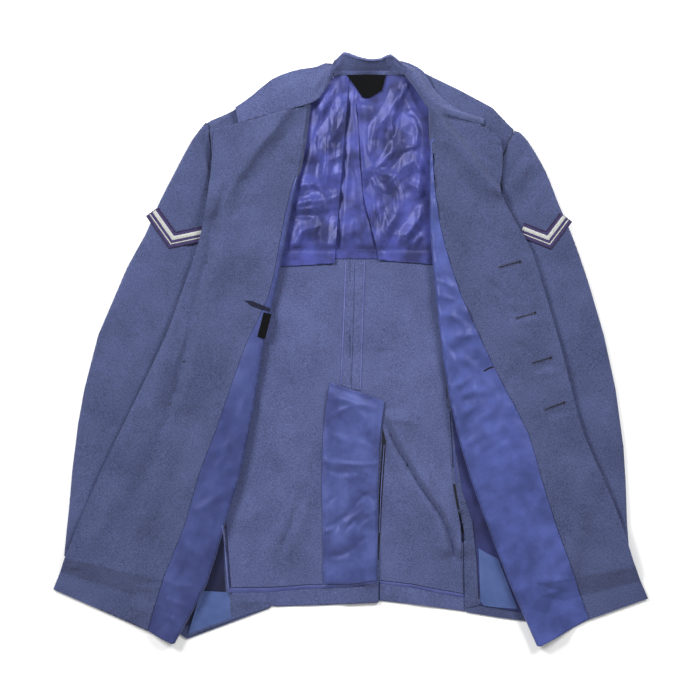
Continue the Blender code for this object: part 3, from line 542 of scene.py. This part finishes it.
def ventLift(x, y, z):
    plan = ventPlan
    rise = plan["base"] + creaseField(plan["folds"], x, y, sharp=True) * plan["foldHeight"]
    rise += facetField(plan["waves"], x, y)
    top, fromX, slope, fade = plan["top"]
    edges = rampUp(y, *plan["foot"]) * rampDown(y, top - slope * (x - fromX), fade)
    return np.maximum(rise, 0) * edges * rampUp(x, *plan["right"]) * rampDown(x, *plan["left"])


# Side linings, puckered above their feet
sidePlan = {
    "waves": [(60, 34, 1.6, 22), (-20, 28, 0.9, 16)], "height": 0.8, "top": (-150, 30), "foot": (-262, 24),
}


def sideLift(x, y, z):
    rise = facetField(sidePlan["waves"], x, y) * sidePlan["height"]
    return rise * rampDown(y, *sidePlan["top"]) * rampUp(y, *sidePlan["foot"])


# Collar: a crease where the stand turns into the fall, and the ripples of its leaf
collarPlan = {
    "upperWall": (8, 4),
    "folds": [
        (-12, 426, -30, 398, -6.0, 7), (-30, 398, -46, 366, -3.2, 7), (60, 424, 80, 398, -5.0, 7),
        (52, 420, 56, 400, 2.4, 7), (96, 388, 128, 350, 3.0, 12, -4), (112, 402, 150, 350, -1.0, 5, -6),
        (92, 382, 122, 344, 1.4, 10, -3), (-60, 392, -110, 360, 0.8, 12), (128, 352, 140, 348, -1.0, 4),
        (-96, 372, -130, 350, -0.6, 12),
    ],
}


def collarLift(x, y, z):
    return creaseField(collarPlan["folds"], x, y) * rampUp(z, *collarPlan["upperWall"])


# Pleat underlay, which shows between the two halves of the lining
pleatPlan = {
    "right": ((0, 395), (-4, 329), (-20, 124)), "left": ((12, 395), (16, 329), (20, 260), (40, 124)),
    "sideFade": 7, "hem": (142, 8), "top": (380, 20), "base": 2.4, "deepest": -0.6,
    "waves": [(70, 26, 2.2, 8), (24, 34, 2.0, 8)],
    "folds": [
        (4, 344, 9, 296, 2.6, 5, 2), (23, 296, 25, 236, 2.6, 5, -2), (4, 262, 8, 216, 2.4, 5, 2),
        (30, 206, 28, 156, 2.2, 6, 2), (6, 196, 2, 156, 1.8, 6, 1), (17, 306, 20, 206, -5.0, 5, 2),
    ],
}


def pleatLift(x, y, z):
    plan = pleatPlan
    beside = rampUp(x, lineX(plan["right"], y), plan["sideFade"])
    beside = beside * rampDown(x, lineX(plan["left"], y), plan["sideFade"])
    rise = plan["base"] + creaseField(plan["folds"], x, y, sharp=True) + facetField(plan["waves"], x, y)
    return np.maximum(rise, plan["deepest"]) * beside * rampUp(y, *plan["hem"]) * rampDown(y, *plan["top"])


# The front linings start as a point between the folded edge and the facing
taperPlan = {
    # rows of y, x of the folded edge, x of the facing seam and how far the seam moves to the fold
    "right": ((140, -95, -101, 0), (192, -85, -94, 3), (236, -77, -84.6, 5), (251, -74, -82, 7.6),
              (262, -72, -80, 8)),
    "left": ((200, 114, 124, 0), (244, 114, 121.4, 3), (270, 114, 123, 6), (284, 115, 124, 8.4),
             (294, 115, 124, 9)),
    "reach": 26, "fade": 10,
}


def taper(side):
    def warp(x, y, z):
        rows = taperPlan[side]
        fold, seam, move = (np.interp(y, [row[0] for row in rows], [row[i] for row in rows])
                            for i in (1, 2, 3))
        high = rows[-1][0]
        turn = -1 if side == "left" else 1
        fromFold = (x - fold) / (seam - fold)
        pastSeam = np.clip(1 - np.abs(x - seam) / taperPlan["reach"], 0, 1)
        weight = np.where(fromFold < 1, np.clip(fromFold, 0, 1), pastSeam)
        below = np.where(y > high, np.clip(1 - (y - high) / taperPlan["fade"], 0, 1), 1)
        return turn * move * weight * below
    return warp


# Cloth pieces: the frame's solid cut into small cells and moved into its folds
clothCut = {"weld": 0.02, "flatAngle": 0.003, "onPlane": 0.002}


def finishPiece(data, name, material, angle=50):
    piece = bpy.data.objects.new(name, data)
    scene.collection.objects.link(piece)
    data.materials.clear()
    data.materials.append(material)
    bpy.context.view_layer.objects.active = piece
    piece.select_set(True)
    bpy.ops.object.shade_smooth_by_angle(angle=math.radians(angle))
    piece.select_set(False)
    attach(piece, "root")
    return piece


def clothPiece(node, cell, material, slot, lift, warp):
    name = node + ("_serge" if slot == wool else "_satin")
    shape = bmesh.new()
    shape.from_mesh(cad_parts[node].data)
    bmesh.ops.remove_doubles(shape, verts=shape.verts, dist=clothCut["weld"] * mm)
    bmesh.ops.dissolve_limit(shape, angle_limit=clothCut["flatAngle"], verts=shape.verts, edges=shape.edges)
    low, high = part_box(node)
    for axis in (0, 1):
        count = int((high[axis] - low[axis]) / (cell * mm))
        normal = [1 - axis, axis, 0]
        for number in range(1, count + 1):
            place = low[axis] + (high[axis] - low[axis]) * number / (count + 1)
            everything = shape.verts[:] + shape.edges[:] + shape.faces[:]
            bmesh.ops.bisect_plane(shape, geom=everything, dist=clothCut["onPlane"] * mm,
                                   plane_co=[place * part for part in normal], plane_no=normal)
    wide = [face for face in shape.faces if len(face.verts) > 4]
    bmesh.ops.triangulate(shape, faces=wide)
    for axis, field in ((2, lift), (0, warp)):
        if field:
            places = np.array([vertex.co for vertex in shape.verts]) / mm
            for vertex, move in zip(shape.verts, field(places[:, 0], places[:, 1], places[:, 2])):
                vertex.co[axis] += move * mm
    data = bpy.data.meshes.new(name)
    shape.to_mesh(data)
    shape.free()
    piece = finishPiece(data, name, material)
    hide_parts(node)
    print("cloth:", name, len(data.vertices), "points")
    return piece


wool, satin = "wool_serge", "satin_lining"
clothCuts = [
    # node, size of a cell, material, slot, lift, warp
    ("back_right", 5, woolMiddle, wool, backLift, None),
    ("back_left", 3, woolMiddle, wool, backLift, None),
    ("side_panel_right", 8, woolRight, wool, None, None),
    ("side_panel_left", 8, woolLeft, wool, None, None),
    # the side linings take the satin drawn dark as painted shade
    ("side_lining_right", 4, satinRightSidePaintedShade, satin, sideLift, None),
    ("side_lining_left", 4, satinLeftSidePaintedShade, satin, sideLift, None),
    ("back_lining_right", 2.4, satinBack, satin, liningLift("right"), None),
    ("back_lining_left", 2.4, satinBack, satin, liningLift("left"), None),
    ("back_lining_pleat", 2.6, satinBack, satin, pleatLift, None),
    ("vent_facing", 2.4, satinVent, satin, ventLift, None),
    ("front_right", 6, woolRight, wool, frontLift("right"), None),
    ("front_left", 6, woolLeft, wool, frontLift("left"), None),
    ("facing_right", 4, woolRight, wool, frontLift("right"), taper("right")),
    ("facing_left", 4, woolLeft, wool, frontLift("left"), taper("left")),
    ("front_lining_right", 3, satinFrontRight, satin, frontSatinLift("right"), taper("right")),
    ("front_lining_left", 3, satinFrontLeft, satin, frontSatinLift("left"), taper("left")),
    ("top_sleeve_right", 5, woolSleeveRight, wool, sleeveLift("right"), None),
    ("top_sleeve_left", 5, woolSleeveLeft, wool, sleeveLift("left"), None),
    ("under_sleeve_right", 9, woolSleeveRight, wool, None, None),
    ("under_sleeve_left", 9, woolSleeveLeft, wool, None, None),
    ("collar", 3, woolMiddle, wool, collarLift, None),
]
cloth = {row[0]: clothPiece(*row) for row in clothCuts}


# The surface that sewn details lie on

details = {node: [] for node in cloth}


def surfaceOf(pieces):
    points, faces = [], []
    for piece in pieces:
        first = len(points)
        points += [vertex.co.copy() for vertex in piece.data.vertices]
        faces += [[first + index for index in face.vertices] for face in piece.data.polygons]
    return BVHTree.FromPolygons(points, faces)


def everySurface():
    sewn = [piece for pieces in details.values() for piece in pieces]
    trims = [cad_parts[node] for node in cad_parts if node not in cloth]
    return surfaceOf(list(cloth.values()) + sewn + trims)


surface = everySurface()
aboveAll = 100


# Height of the uppermost cloth at a place
def levelAt(x, y):
    hit = surface.ray_cast(Vector((x, y, aboveAll)) * mm, Vector((0, 0, -1)))[0]
    return hit.z / mm if hit else 0.0


# Even steps from one place to another, without the first
def between(start, end, count):
    return [(start[0] + (end[0] - start[0]) * number / count,
             start[1] + (end[1] - start[1]) * number / count) for number in range(1, count + 1)]


# Places along a line, corners included
def walk(line, pitch):
    places = [tuple(line[0])]
    for start, end in zip(line, line[1:]):
        places += between(start, end, max(1, round(math.dist(start, end) / pitch)))
    return places


# The same line moved sideways, to its left if the distance is above zero
def offsetLine(points, distance):
    normals = []
    for start, end in zip(points, points[1:]):
        length = math.dist(start, end)
        normals.append(Vector(((start[1] - end[1]) / length, (end[0] - start[0]) / length)))
    moved = []
    for index, point in enumerate(points):
        a, b = normals[max(index - 1, 0)], normals[min(index, len(normals) - 1)]
        move = (a + b) / (1 + a.dot(b)) * distance
        moved.append((point[0] + move.x, point[1] + move.y))
    return moved


# Thin cloth strip that lies on the coat between two lines with equally many points.
# A bridge runs straight over whatever dips under it, and rounded says how far its edges sink.
stripPlan = {"pitch": 4, "edgeSlope": 2.5}


def strip(carrier, name, lineA, lineB, material, slot, thick=0.8, columns=4, gap=0.12, rounded=0.5,
          bridge=False):
    rowsA, rowsB = [tuple(lineA[0])], [tuple(lineB[0])]
    for index in range(len(lineA) - 1):
        count = max(1, round(math.dist(lineA[index], lineA[index + 1]) / stripPlan["pitch"]))
        rowsA += between(lineA[index], lineA[index + 1], count)
        rowsB += between(lineB[index], lineB[index + 1], count)
    shape = bmesh.new()
    tops, bottoms = [], []
    for a, b in zip(rowsA, rowsB):
        topRow, bottomRow = [], []
        ends = levelAt(*a), levelAt(*b)
        for column in range(columns + 1):
            share = column / columns
            x, y = a[0] + (b[0] - a[0]) * share, a[1] + (b[1] - a[1]) * share
            level = max(levelAt(x, y), ends[0] + (ends[1] - ends[0]) * share if bridge else 0) + gap
            fromEdge = min(1, (1 - abs(share * 2 - 1)) * stripPlan["edgeSlope"])
            crown = thick * (1 - rounded * (1 - fromEdge) ** 2)
            topRow.append(shape.verts.new((x * mm, y * mm, (level + crown) * mm)))
            bottomRow.append(shape.verts.new((x * mm, y * mm, level * mm)))
        tops.append(topRow)
        bottoms.append(bottomRow)
    last = len(tops) - 1
    for row in range(last):
        for column in range(columns):
            for grid in (tops, bottoms):
                shape.faces.new([grid[row][column], grid[row][column + 1],
                                 grid[row + 1][column + 1], grid[row + 1][column]])
        for column in (0, columns):
            shape.faces.new([tops[row][column], tops[row + 1][column],
                             bottoms[row + 1][column], bottoms[row][column]])
    for row in (0, last):
        for column in range(columns):
            shape.faces.new([tops[row][column], tops[row][column + 1],
                             bottoms[row][column + 1], bottoms[row][column]])
    bmesh.ops.recalc_face_normals(shape, faces=shape.faces)
    data = bpy.data.meshes.new(name)
    shape.to_mesh(data)
    shape.free()
    details[carrier].append(finishPiece(data, name, material, angle=40))


def ribbon(carrier, name, line, width, material, slot, **options):
    lineA, lineB = offsetLine(line, -width / 2), offsetLine(line, width / 2)
    strip(carrier, name, lineA, lineB, material, slot, **options)


# Places where one cloth runs over the edge of another without a gap
joins = [
    # carrier, name, one line, other line, material, thickness
    ("collar", "neck_seam_tape", ((-26, 399), (20, 399.5), (80, 399)), ((-22, 393), (20, 394.5), (76, 393)),
     woolMiddle, 0.5),
    ("facing_left", "gorge_seam_left", ((110, 352), (140, 342.5), (168, 336), (192, 329), (201, 325)),
     ((114, 338), (140, 331), (168, 324), (190, 318), (200, 313)), woolLeft, 0.4),
    ("front_right", "shoulder_seam_right", ((-207, 324), (-199, 329.5), (-183, 336), (-170, 342)),
     ((-205, 316), (-197, 318), (-183, 326), (-170, 335)), woolRight, 0.3),
    ("facing_right", "lapel_edge_right", ((-56, 352), (-60, 318), (-64, 290), (-69, 262), (-74, 248)),
     ((-66, 350), (-70, 318), (-73, 290), (-77, 262), (-80, 248)), woolRight, 0.6),
    ("facing_left", "lapel_edge_left", ((112.5, 340), (113, 318), (114, 296), (115.4, 280)),
     ((122, 338), (122, 318), (123, 296), (122, 280)), woolLeft, 0.4),
    ("side_panel_left", "side_seam_allowance_left",
     ((139, -84), (141, -114), (143.5, -142), (147.5, -200), (158, -246), (160, -300), (164, -370)),
     ((145, -84), (148, -114), (151, -142), (160, -200), (175, -246), (181, -300), (187, -366)),
     woolLeft, 0.8),
]
for carrier, name, lineA, lineB, material, thick in joins:
    strip(carrier, name, lineA, lineB, material, wool, thick=thick, bridge=True)
print("joins made")

# Centre back seam: allowances pressed open, each edge bound with satin
centreSeam = {
    "middle": ((7, 128), (5, 40), (2, -56)), "halfGap": 0.4,
    "right": ((-6, 128), (-9, 40), (-13, -50)),
    "left": ((21, 128), (18, 40), (15, -58)),
}
middleRight = offsetLine(centreSeam["middle"], -centreSeam["halfGap"])
middleLeft = offsetLine(centreSeam["middle"], centreSeam["halfGap"])
strip("back_right", "centre_seam_allowance_right", centreSeam["right"], middleRight, woolMiddle, wool,
      thick=0.9)
strip("back_left", "centre_seam_allowance_left", middleLeft, centreSeam["left"], woolMiddle, wool,
      thick=0.9)

# Hem: allowance turned up
hems = {
    "right": {"top": ((-174, -341), (-115, -341), (-60, -337), (0, -336), (40, -330)),
              "foot": ((-171, -352), (-115, -367), (-48, -365), (0, -363), (40, -361)),
              "binding": (6.5, 3.0)},
    "left": {"top": ((43, -331), (88, -336), (128, -344), (163, -350)),
             "foot": ((43, -358), (88, -364), (128, -369), (163, -374)), "binding": (3.5, 5.0)},
}
for side, hem in hems.items():
    strip("back_" + side, "hem_allowance_" + side, hem["top"], hem["foot"], woolMiddle, wool,
          thick=1.0, columns=8)

# Foot of the sides: the satin that shows there, and the serge that joins it to the hem
sideFeet = [
    # carrier, name, one line, other line, material, slot, thickness, columns, gap
    ("side_lining_right", "side_lining_foot_right", ((-213, -345), (-192, -346), (-173, -347)),
     ((-232, -407), (-200, -395.5), (-170, -385)), satinSide, satin, 0.4, 8, 0.9),
    ("side_lining_left", "side_lining_foot_left", ((184, -284), (196, -291), (212, -299)),
     ((187, -366), (214, -369), (240, -371)), satinSide, satin, 0.4, 8, 0.4),
    ("side_panel_right", "side_hem_join_right", ((-174.5, -346), (-150, -353), (-112, -366)),
     ((-170, -387), (-145, -378), (-114, -369)), woolRight, wool, 0.4, 8, 0.8),
    ("side_panel_right", "side_hem_edge_right", ((-232, -406), (-200, -394.5), (-171, -384)),
     ((-230.5, -410.5), (-200, -399), (-170, -388)), woolRight, wool, 0.5, 4, 0.8),
]
for carrier, name, lineA, lineB, material, slot, thick, columns, gap in sideFeet:
    strip(carrier, name, lineA, lineB, material, slot, thick=thick, columns=columns, gap=gap, bridge=True)
surface = everySurface()

# Bindings and near-black strips: the dark seam-edge strips and the gap and slit-end pieces are painted shade
bindingsAndShadeStrips = [
    # carrier, name, line, width, material, thickness, columns
    ("back_right", "centre_seam_binding_right", centreSeam["right"], 2.2, bindingLight, 0.9, 4),
    ("back_left", "centre_seam_binding_left", centreSeam["left"], 2.2, bindingLight, 0.9, 4),
    ("back_right", "hem_edge_right", offsetLine(hems["right"]["top"], 0.7), 1.3, paintedSeamShade, 0.6, 2),
    ("back_left", "hem_edge_left", offsetLine(hems["left"]["top"], 0.7), 1.3, paintedSeamShade, 0.6, 2),
    ("back_left", "side_seam_edge_left", ((143.5, -88), (144.5, -114), (146.8, -142), (147.5, -168)),
     1.6, paintedSeamShade, 0.5, 2),
    ("back_left", "side_seam_bar_left", ((149, -142), (151.5, -170), (153, -190)), 3.0, bindingSoft, 0.5, 4),
    ("back_left", "side_seam_gap_left", ((149, -192), (152.5, -212), (157, -236), (162, -262)),
     3.2, slitShade, 0.5, 2),
    ("back_left", "side_seam_foot_left", ((162, -262), (162.5, -300), (163.5, -352)),
     1.5, paintedSeamShade, 0.5, 2),
    ("side_panel_left", "side_strip_edge_left", ((176, -246), (181.5, -300), (184.5, -356)),
     1.4, paintedSeamShade, 0.5, 2),
    ("side_panel_right", "side_seam_binding_right", ((-182, -250), (-180, -276), (-178, -300), (-174, -346)),
     2.4, bindingLight, 1.0, 4),
    ("back_right", "side_seam_edge_right", ((-178, -246), (-176.6, -276), (-174.6, -300), (-171, -350)),
     2.6, paintedSeamShade, 0.4, 2),
    ("front_lining_left", "left_pocket_slit_end", ((191, -30), (198, -26), (204, -24)),
     2.4, slitShade, 0.5, 2),
]
for carrier, name, line, width, material, thick, columns in bindingsAndShadeStrips:
    ribbon(carrier, name, line, width, material, satin, thick=thick, columns=columns, rounded=0.8,
           bridge=True)

# Gap beside the vent facing: a near-black strip, painted shade, with the bound edge of the underlap in it
strip("back_right", "vent_gap", ((46.5, -114), (46, -132), (42, -200), (40.4, -262), (39.8, -300)),
      ((47.5, -114), (51.5, -132), (47, -200), (43.5, -262), (41, -300)), slitShade, satin,
      thick=0.3, bridge=True)
surface = everySurface()
ribbon("back_right", "vent_binding", ((49, -136), (44.6, -200), (42, -262)), 1.2, bindingLight, satin,
       thick=0.5, rounded=0.9, bridge=True)

# Binding along the hem allowance, whose width changes from the middle to the side
for side, hem in hems.items():
    first, last = hem["binding"]
    steps = len(hem["top"]) - 1
    below = [(x, y - first + (first - last) * number / steps) for number, (x, y) in enumerate(hem["top"])]
    strip("back_" + side, "hem_binding_" + side, hem["top"], below, bindingSoft, satin, thick=0.5)
print("seams, hem and vent made")


# Stitches, modelled once and joined into one piece for each row. A stitch is a stretched ball,
# 0.8 as high as it is thick, and sinks into the cloth by 0.3 of its thickness.
stitchShape = {"segments": 6, "rings": 4, "flat": 0.8, "sink": 0.3}


def stitchMesh(length, thick):
    bpy.ops.mesh.primitive_uv_sphere_add(
        segments=stitchShape["segments"], ring_count=stitchShape["rings"], radius=0.5)
    ball = bpy.context.object
    bpy.ops.object.mode_set(mode="EDIT")
    bpy.ops.mesh.select_all(action="SELECT")
    bpy.ops.transform.resize(value=(length * mm, thick * mm, thick * stitchShape["flat"] * mm))
    bpy.ops.object.mode_set(mode="OBJECT")
    data = ball.data.copy()
    bpy.data.objects.remove(ball)
    return data


# Each place is x, y and a direction in degrees
def stitches(carrier, name, places, length, thick, material):
    one = stitchMesh(length, thick)
    allPoints, allFaces = [], []
    for x, y, direction in places:
        turn = math.radians(direction)
        first = len(allPoints)
        height = (levelAt(x, y) + thick * (0.5 - stitchShape["sink"])) * mm
        for point in one.vertices:
            allPoints.append((x * mm + point.co.x * math.cos(turn) - point.co.y * math.sin(turn),
                              y * mm + point.co.x * math.sin(turn) + point.co.y * math.cos(turn),
                              height + point.co.z))
        allFaces += [[first + corner for corner in face.vertices] for face in one.polygons]
    data = bpy.data.meshes.new(name)
    data.from_pydata(allPoints, [], allFaces)
    details[carrier].append(finishPiece(data, name, material, angle=80))


def runningStitches(line, pitch):
    places = walk(line, pitch)
    return [((a[0] + b[0]) / 2, (a[1] + b[1]) / 2, math.degrees(math.atan2(b[1] - a[1], b[0] - a[0])))
            for a, b in zip(places, places[1:])]


surface = everySurface()
hemStitch = {
    "pitch": 3.2, "length": 2.4, "thick": 0.8,
    "rows": {
        "back_lining_right": ((-97, 140), (-60, 141), (-24, 142)),
        "back_lining_pleat": ((-19, 143), (10, 143), (40, 143)),
        "back_lining_left": ((43, 143), (80, 142), (113, 140)),
    },
}
for node, line in hemStitch["rows"].items():
    stitches(node, node + "_hem_stitches", runningStitches(line, hemStitch["pitch"]), hemStitch["length"],
             hemStitch["thick"], threadBlue)

# Buttonholes in the left front: a slit with a round eye, sewn over with thread
buttonhole = {
    "lines": [((213, 118), (242, 126)), ((237, 45), (264, 53)), ((260, -19), (286, -11)),
              ((278, -85), (305, -75))],
    "halfWidth": 1.3, "slit": 0.9, "pitch": 1.1, "length": 1.9, "thick": 0.8,
    "eye": 2.3, "eyeStitches": 12, "barStitches": 5, "barPitch": 0.8,
    "eyeHole": 1.7, "eyeSides": 16, "eyeDepth": 0.5, "eyeRise": 0.35,
}
for number, (start, end) in enumerate(buttonhole["lines"], 1):
    direction = math.degrees(math.atan2(end[1] - start[1], end[0] - start[0]))
    turn = math.radians(direction)
    across = (-math.sin(turn), math.cos(turn))
    rows = []
    for x, y in walk((start, end), buttonhole["pitch"]):
        for side in (-1, 1):
            offset = buttonhole["halfWidth"] * side
            rows.append((x + across[0] * offset, y + across[1] * offset, direction + 90))
    for step in range(buttonhole["eyeStitches"]):
        angle = turn + math.tau * step / buttonhole["eyeStitches"]
        rows.append((end[0] + buttonhole["eye"] * math.cos(angle),
                     end[1] + buttonhole["eye"] * math.sin(angle), math.degrees(angle)))
    for step in range(buttonhole["barStitches"]):
        offset = (step - buttonhole["barStitches"] // 2) * buttonhole["barPitch"]
        rows.append((start[0] + across[0] * offset, start[1] + across[1] * offset, direction))
    stitches("facing_left", "buttonhole_thread_%d" % number, rows, buttonhole["length"], buttonhole["thick"],
             threadNavy)
    # the slit and the eye are near-black pieces: painted shade in the cut and the hole
    ribbon("facing_left", "buttonhole_slit_%d" % number, (start, end), buttonhole["slit"], slitShade, wool,
           thick=0.3, columns=2)
    eyePlace = Vector((end[0], end[1], levelAt(*end) + buttonhole["eyeRise"])) * mm
    bpy.ops.mesh.primitive_cylinder_add(
        vertices=buttonhole["eyeSides"], radius=buttonhole["eyeHole"] * mm,
        depth=buttonhole["eyeDepth"] * mm, location=eyePlace)
    eye = bpy.context.object
    bpy.ops.object.transform_apply(location=True, rotation=True, scale=True)
    eyeData = eye.data.copy()
    bpy.data.objects.remove(eye)
    hole = finishPiece(eyeData, "buttonhole_eye_%d" % number, slitShade, angle=30)
    details["facing_left"].append(hole)
print("buttonholes made")

# Thread ends that show where the buttons are sewn to the other face of the right front
threadEnds = {
    "places": ((-205, 126), (-218, 53), (-237, -16), (-257, -77)),
    "stitches": 7, "spreadX": 1.2, "spreadY": 1.6, "directions": (30, 120), "length": 3.6, "thick": 1.1,
}
random.seed(4)
for number, (x, y) in enumerate(threadEnds["places"], 1):
    wide, high = threadEnds["spreadX"], threadEnds["spreadY"]
    rows = [(x + random.uniform(-wide, wide), y + random.uniform(-high, high),
             random.uniform(*threadEnds["directions"])) for _ in range(threadEnds["stitches"])]
    stitches("front_right", "button_thread_%d" % number, rows, threadEnds["length"], threadEnds["thick"],
             threadNavy)

# Sleeve patches: a V of twill with a broad and a narrow pale bar and a corded edge
patchPlan = {
    # outer end, corner and inner end of the V
    "right": ((-283, 198), (-254, 157), (-206, 167)),
    "left": ((245, 172), (284, 157), (309, 190)),
    "endShare": 0.02,
    # name, distance from the V's middle line, width, material
    "bars": [("broad_bar", 2.6, 5.4, patchBars), ("thin_bar", -4.8, 1.8, patchBars),
             ("upper_cord", 10.0, 1.6, patchCord), ("lower_cord", -10.0, 1.6, patchCord)],
}
for side in ("right", "left"):
    surface = surfaceOf([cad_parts["chevron_patch_" + side]])
    outer, corner, inner = (Vector(place) for place in patchPlan[side])
    line = (tuple(outer.lerp(corner, patchPlan["endShare"])), tuple(corner),
            tuple(inner.lerp(corner, patchPlan["endShare"])))
    for name, offset, width, material in patchPlan["bars"]:
        ribbon("top_sleeve_" + side, "patch_%s_%s" % (name, side), offsetLine(line, offset), width, material,
               "patch_twill", thick=0.5, rounded=0.9)
print("threads and patches made")


# The frame's own trims keep their shape and take a material

def dress(node, carrier, material):
    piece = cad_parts[node]
    piece.data.materials.clear()
    piece.data.materials.append(material)
    details[carrier].append(piece)


dress("chevron_patch_right", "top_sleeve_right", patchCloth)
dress("chevron_patch_left", "top_sleeve_left", patchCloth)
dress("neck_label", "back_lining_right", tapeBlack)
dress("pocket_label", "front_lining_right", tapeBlack)
# the welt's near-black colour is painted shade of its fold
dress("pocket_welt", "facing_right", satinWeltPaintedShade)
for number in range(1, 5):
    dress("button_%d" % number, "front_right", buttonMetal)
# Camera straight above, as the coat was photographed
viewPlan = {"lens": 85, "sensor": 36, "frameWidth": 1001.0, "focusLevel": 8.0}
cameraData = bpy.data.cameras.new("camera_above")
cameraData.lens = viewPlan["lens"]
cameraData.sensor_width = viewPlan["sensor"]
camera = bpy.data.objects.new("camera_above", cameraData)
scene.collection.objects.link(camera)
distance = viewPlan["frameWidth"] * viewPlan["lens"] / viewPlan["sensor"]
camera.location = (0, 0, (distance + viewPlan["focusLevel"]) * mm)
scene.camera = camera

# Floor and soft studio light
floorPlan = {"size": 12, "level": -0.0002}     # in metres
bpy.ops.mesh.primitive_plane_add(size=floorPlan["size"], location=(0, 0, floorPlan["level"]))
floor = bpy.context.object
floor.name = "pale_floor"
floor.data.materials.append(newMaterial("matt_white_paper", {
    "Base Color": hexColour("#f6f6f6"), "Roughness": 0.9})[0])
bpy.ops.object.select_all(action="DESELECT")

worldStrength = 0.28
lights = [
    # name, place in metres, size in metres, power in watts
    ("softbox_top_left", (-1.5, 1.2, 1.5), 0.8, 67),
    ("softbox_top_right", (1.35, 1.25, 1.5), 0.8, 49),
    ("softbox_low", (-0.3, -2.0, 2.0), 1.8, 12),
]
for name, place, size, power in lights:
    lamp = bpy.data.lights.new(name, "AREA")
    lamp.shape = "SQUARE"
    lamp.size = size
    lamp.energy = power
    holder = bpy.data.objects.new(name, lamp)
    holder.location = place
    holder.rotation_euler = (-Vector(place)).to_track_quat("-Z", "Y").to_euler()
    scene.collection.objects.link(holder)
world = bpy.data.worlds.new("studio_white")
world.use_nodes = True
sky = world.node_tree.nodes["Background"].inputs
sky["Color"].default_value = hexColour("#ffffff")
sky["Strength"].default_value = worldStrength
scene.world = world
print("camera and lights set")
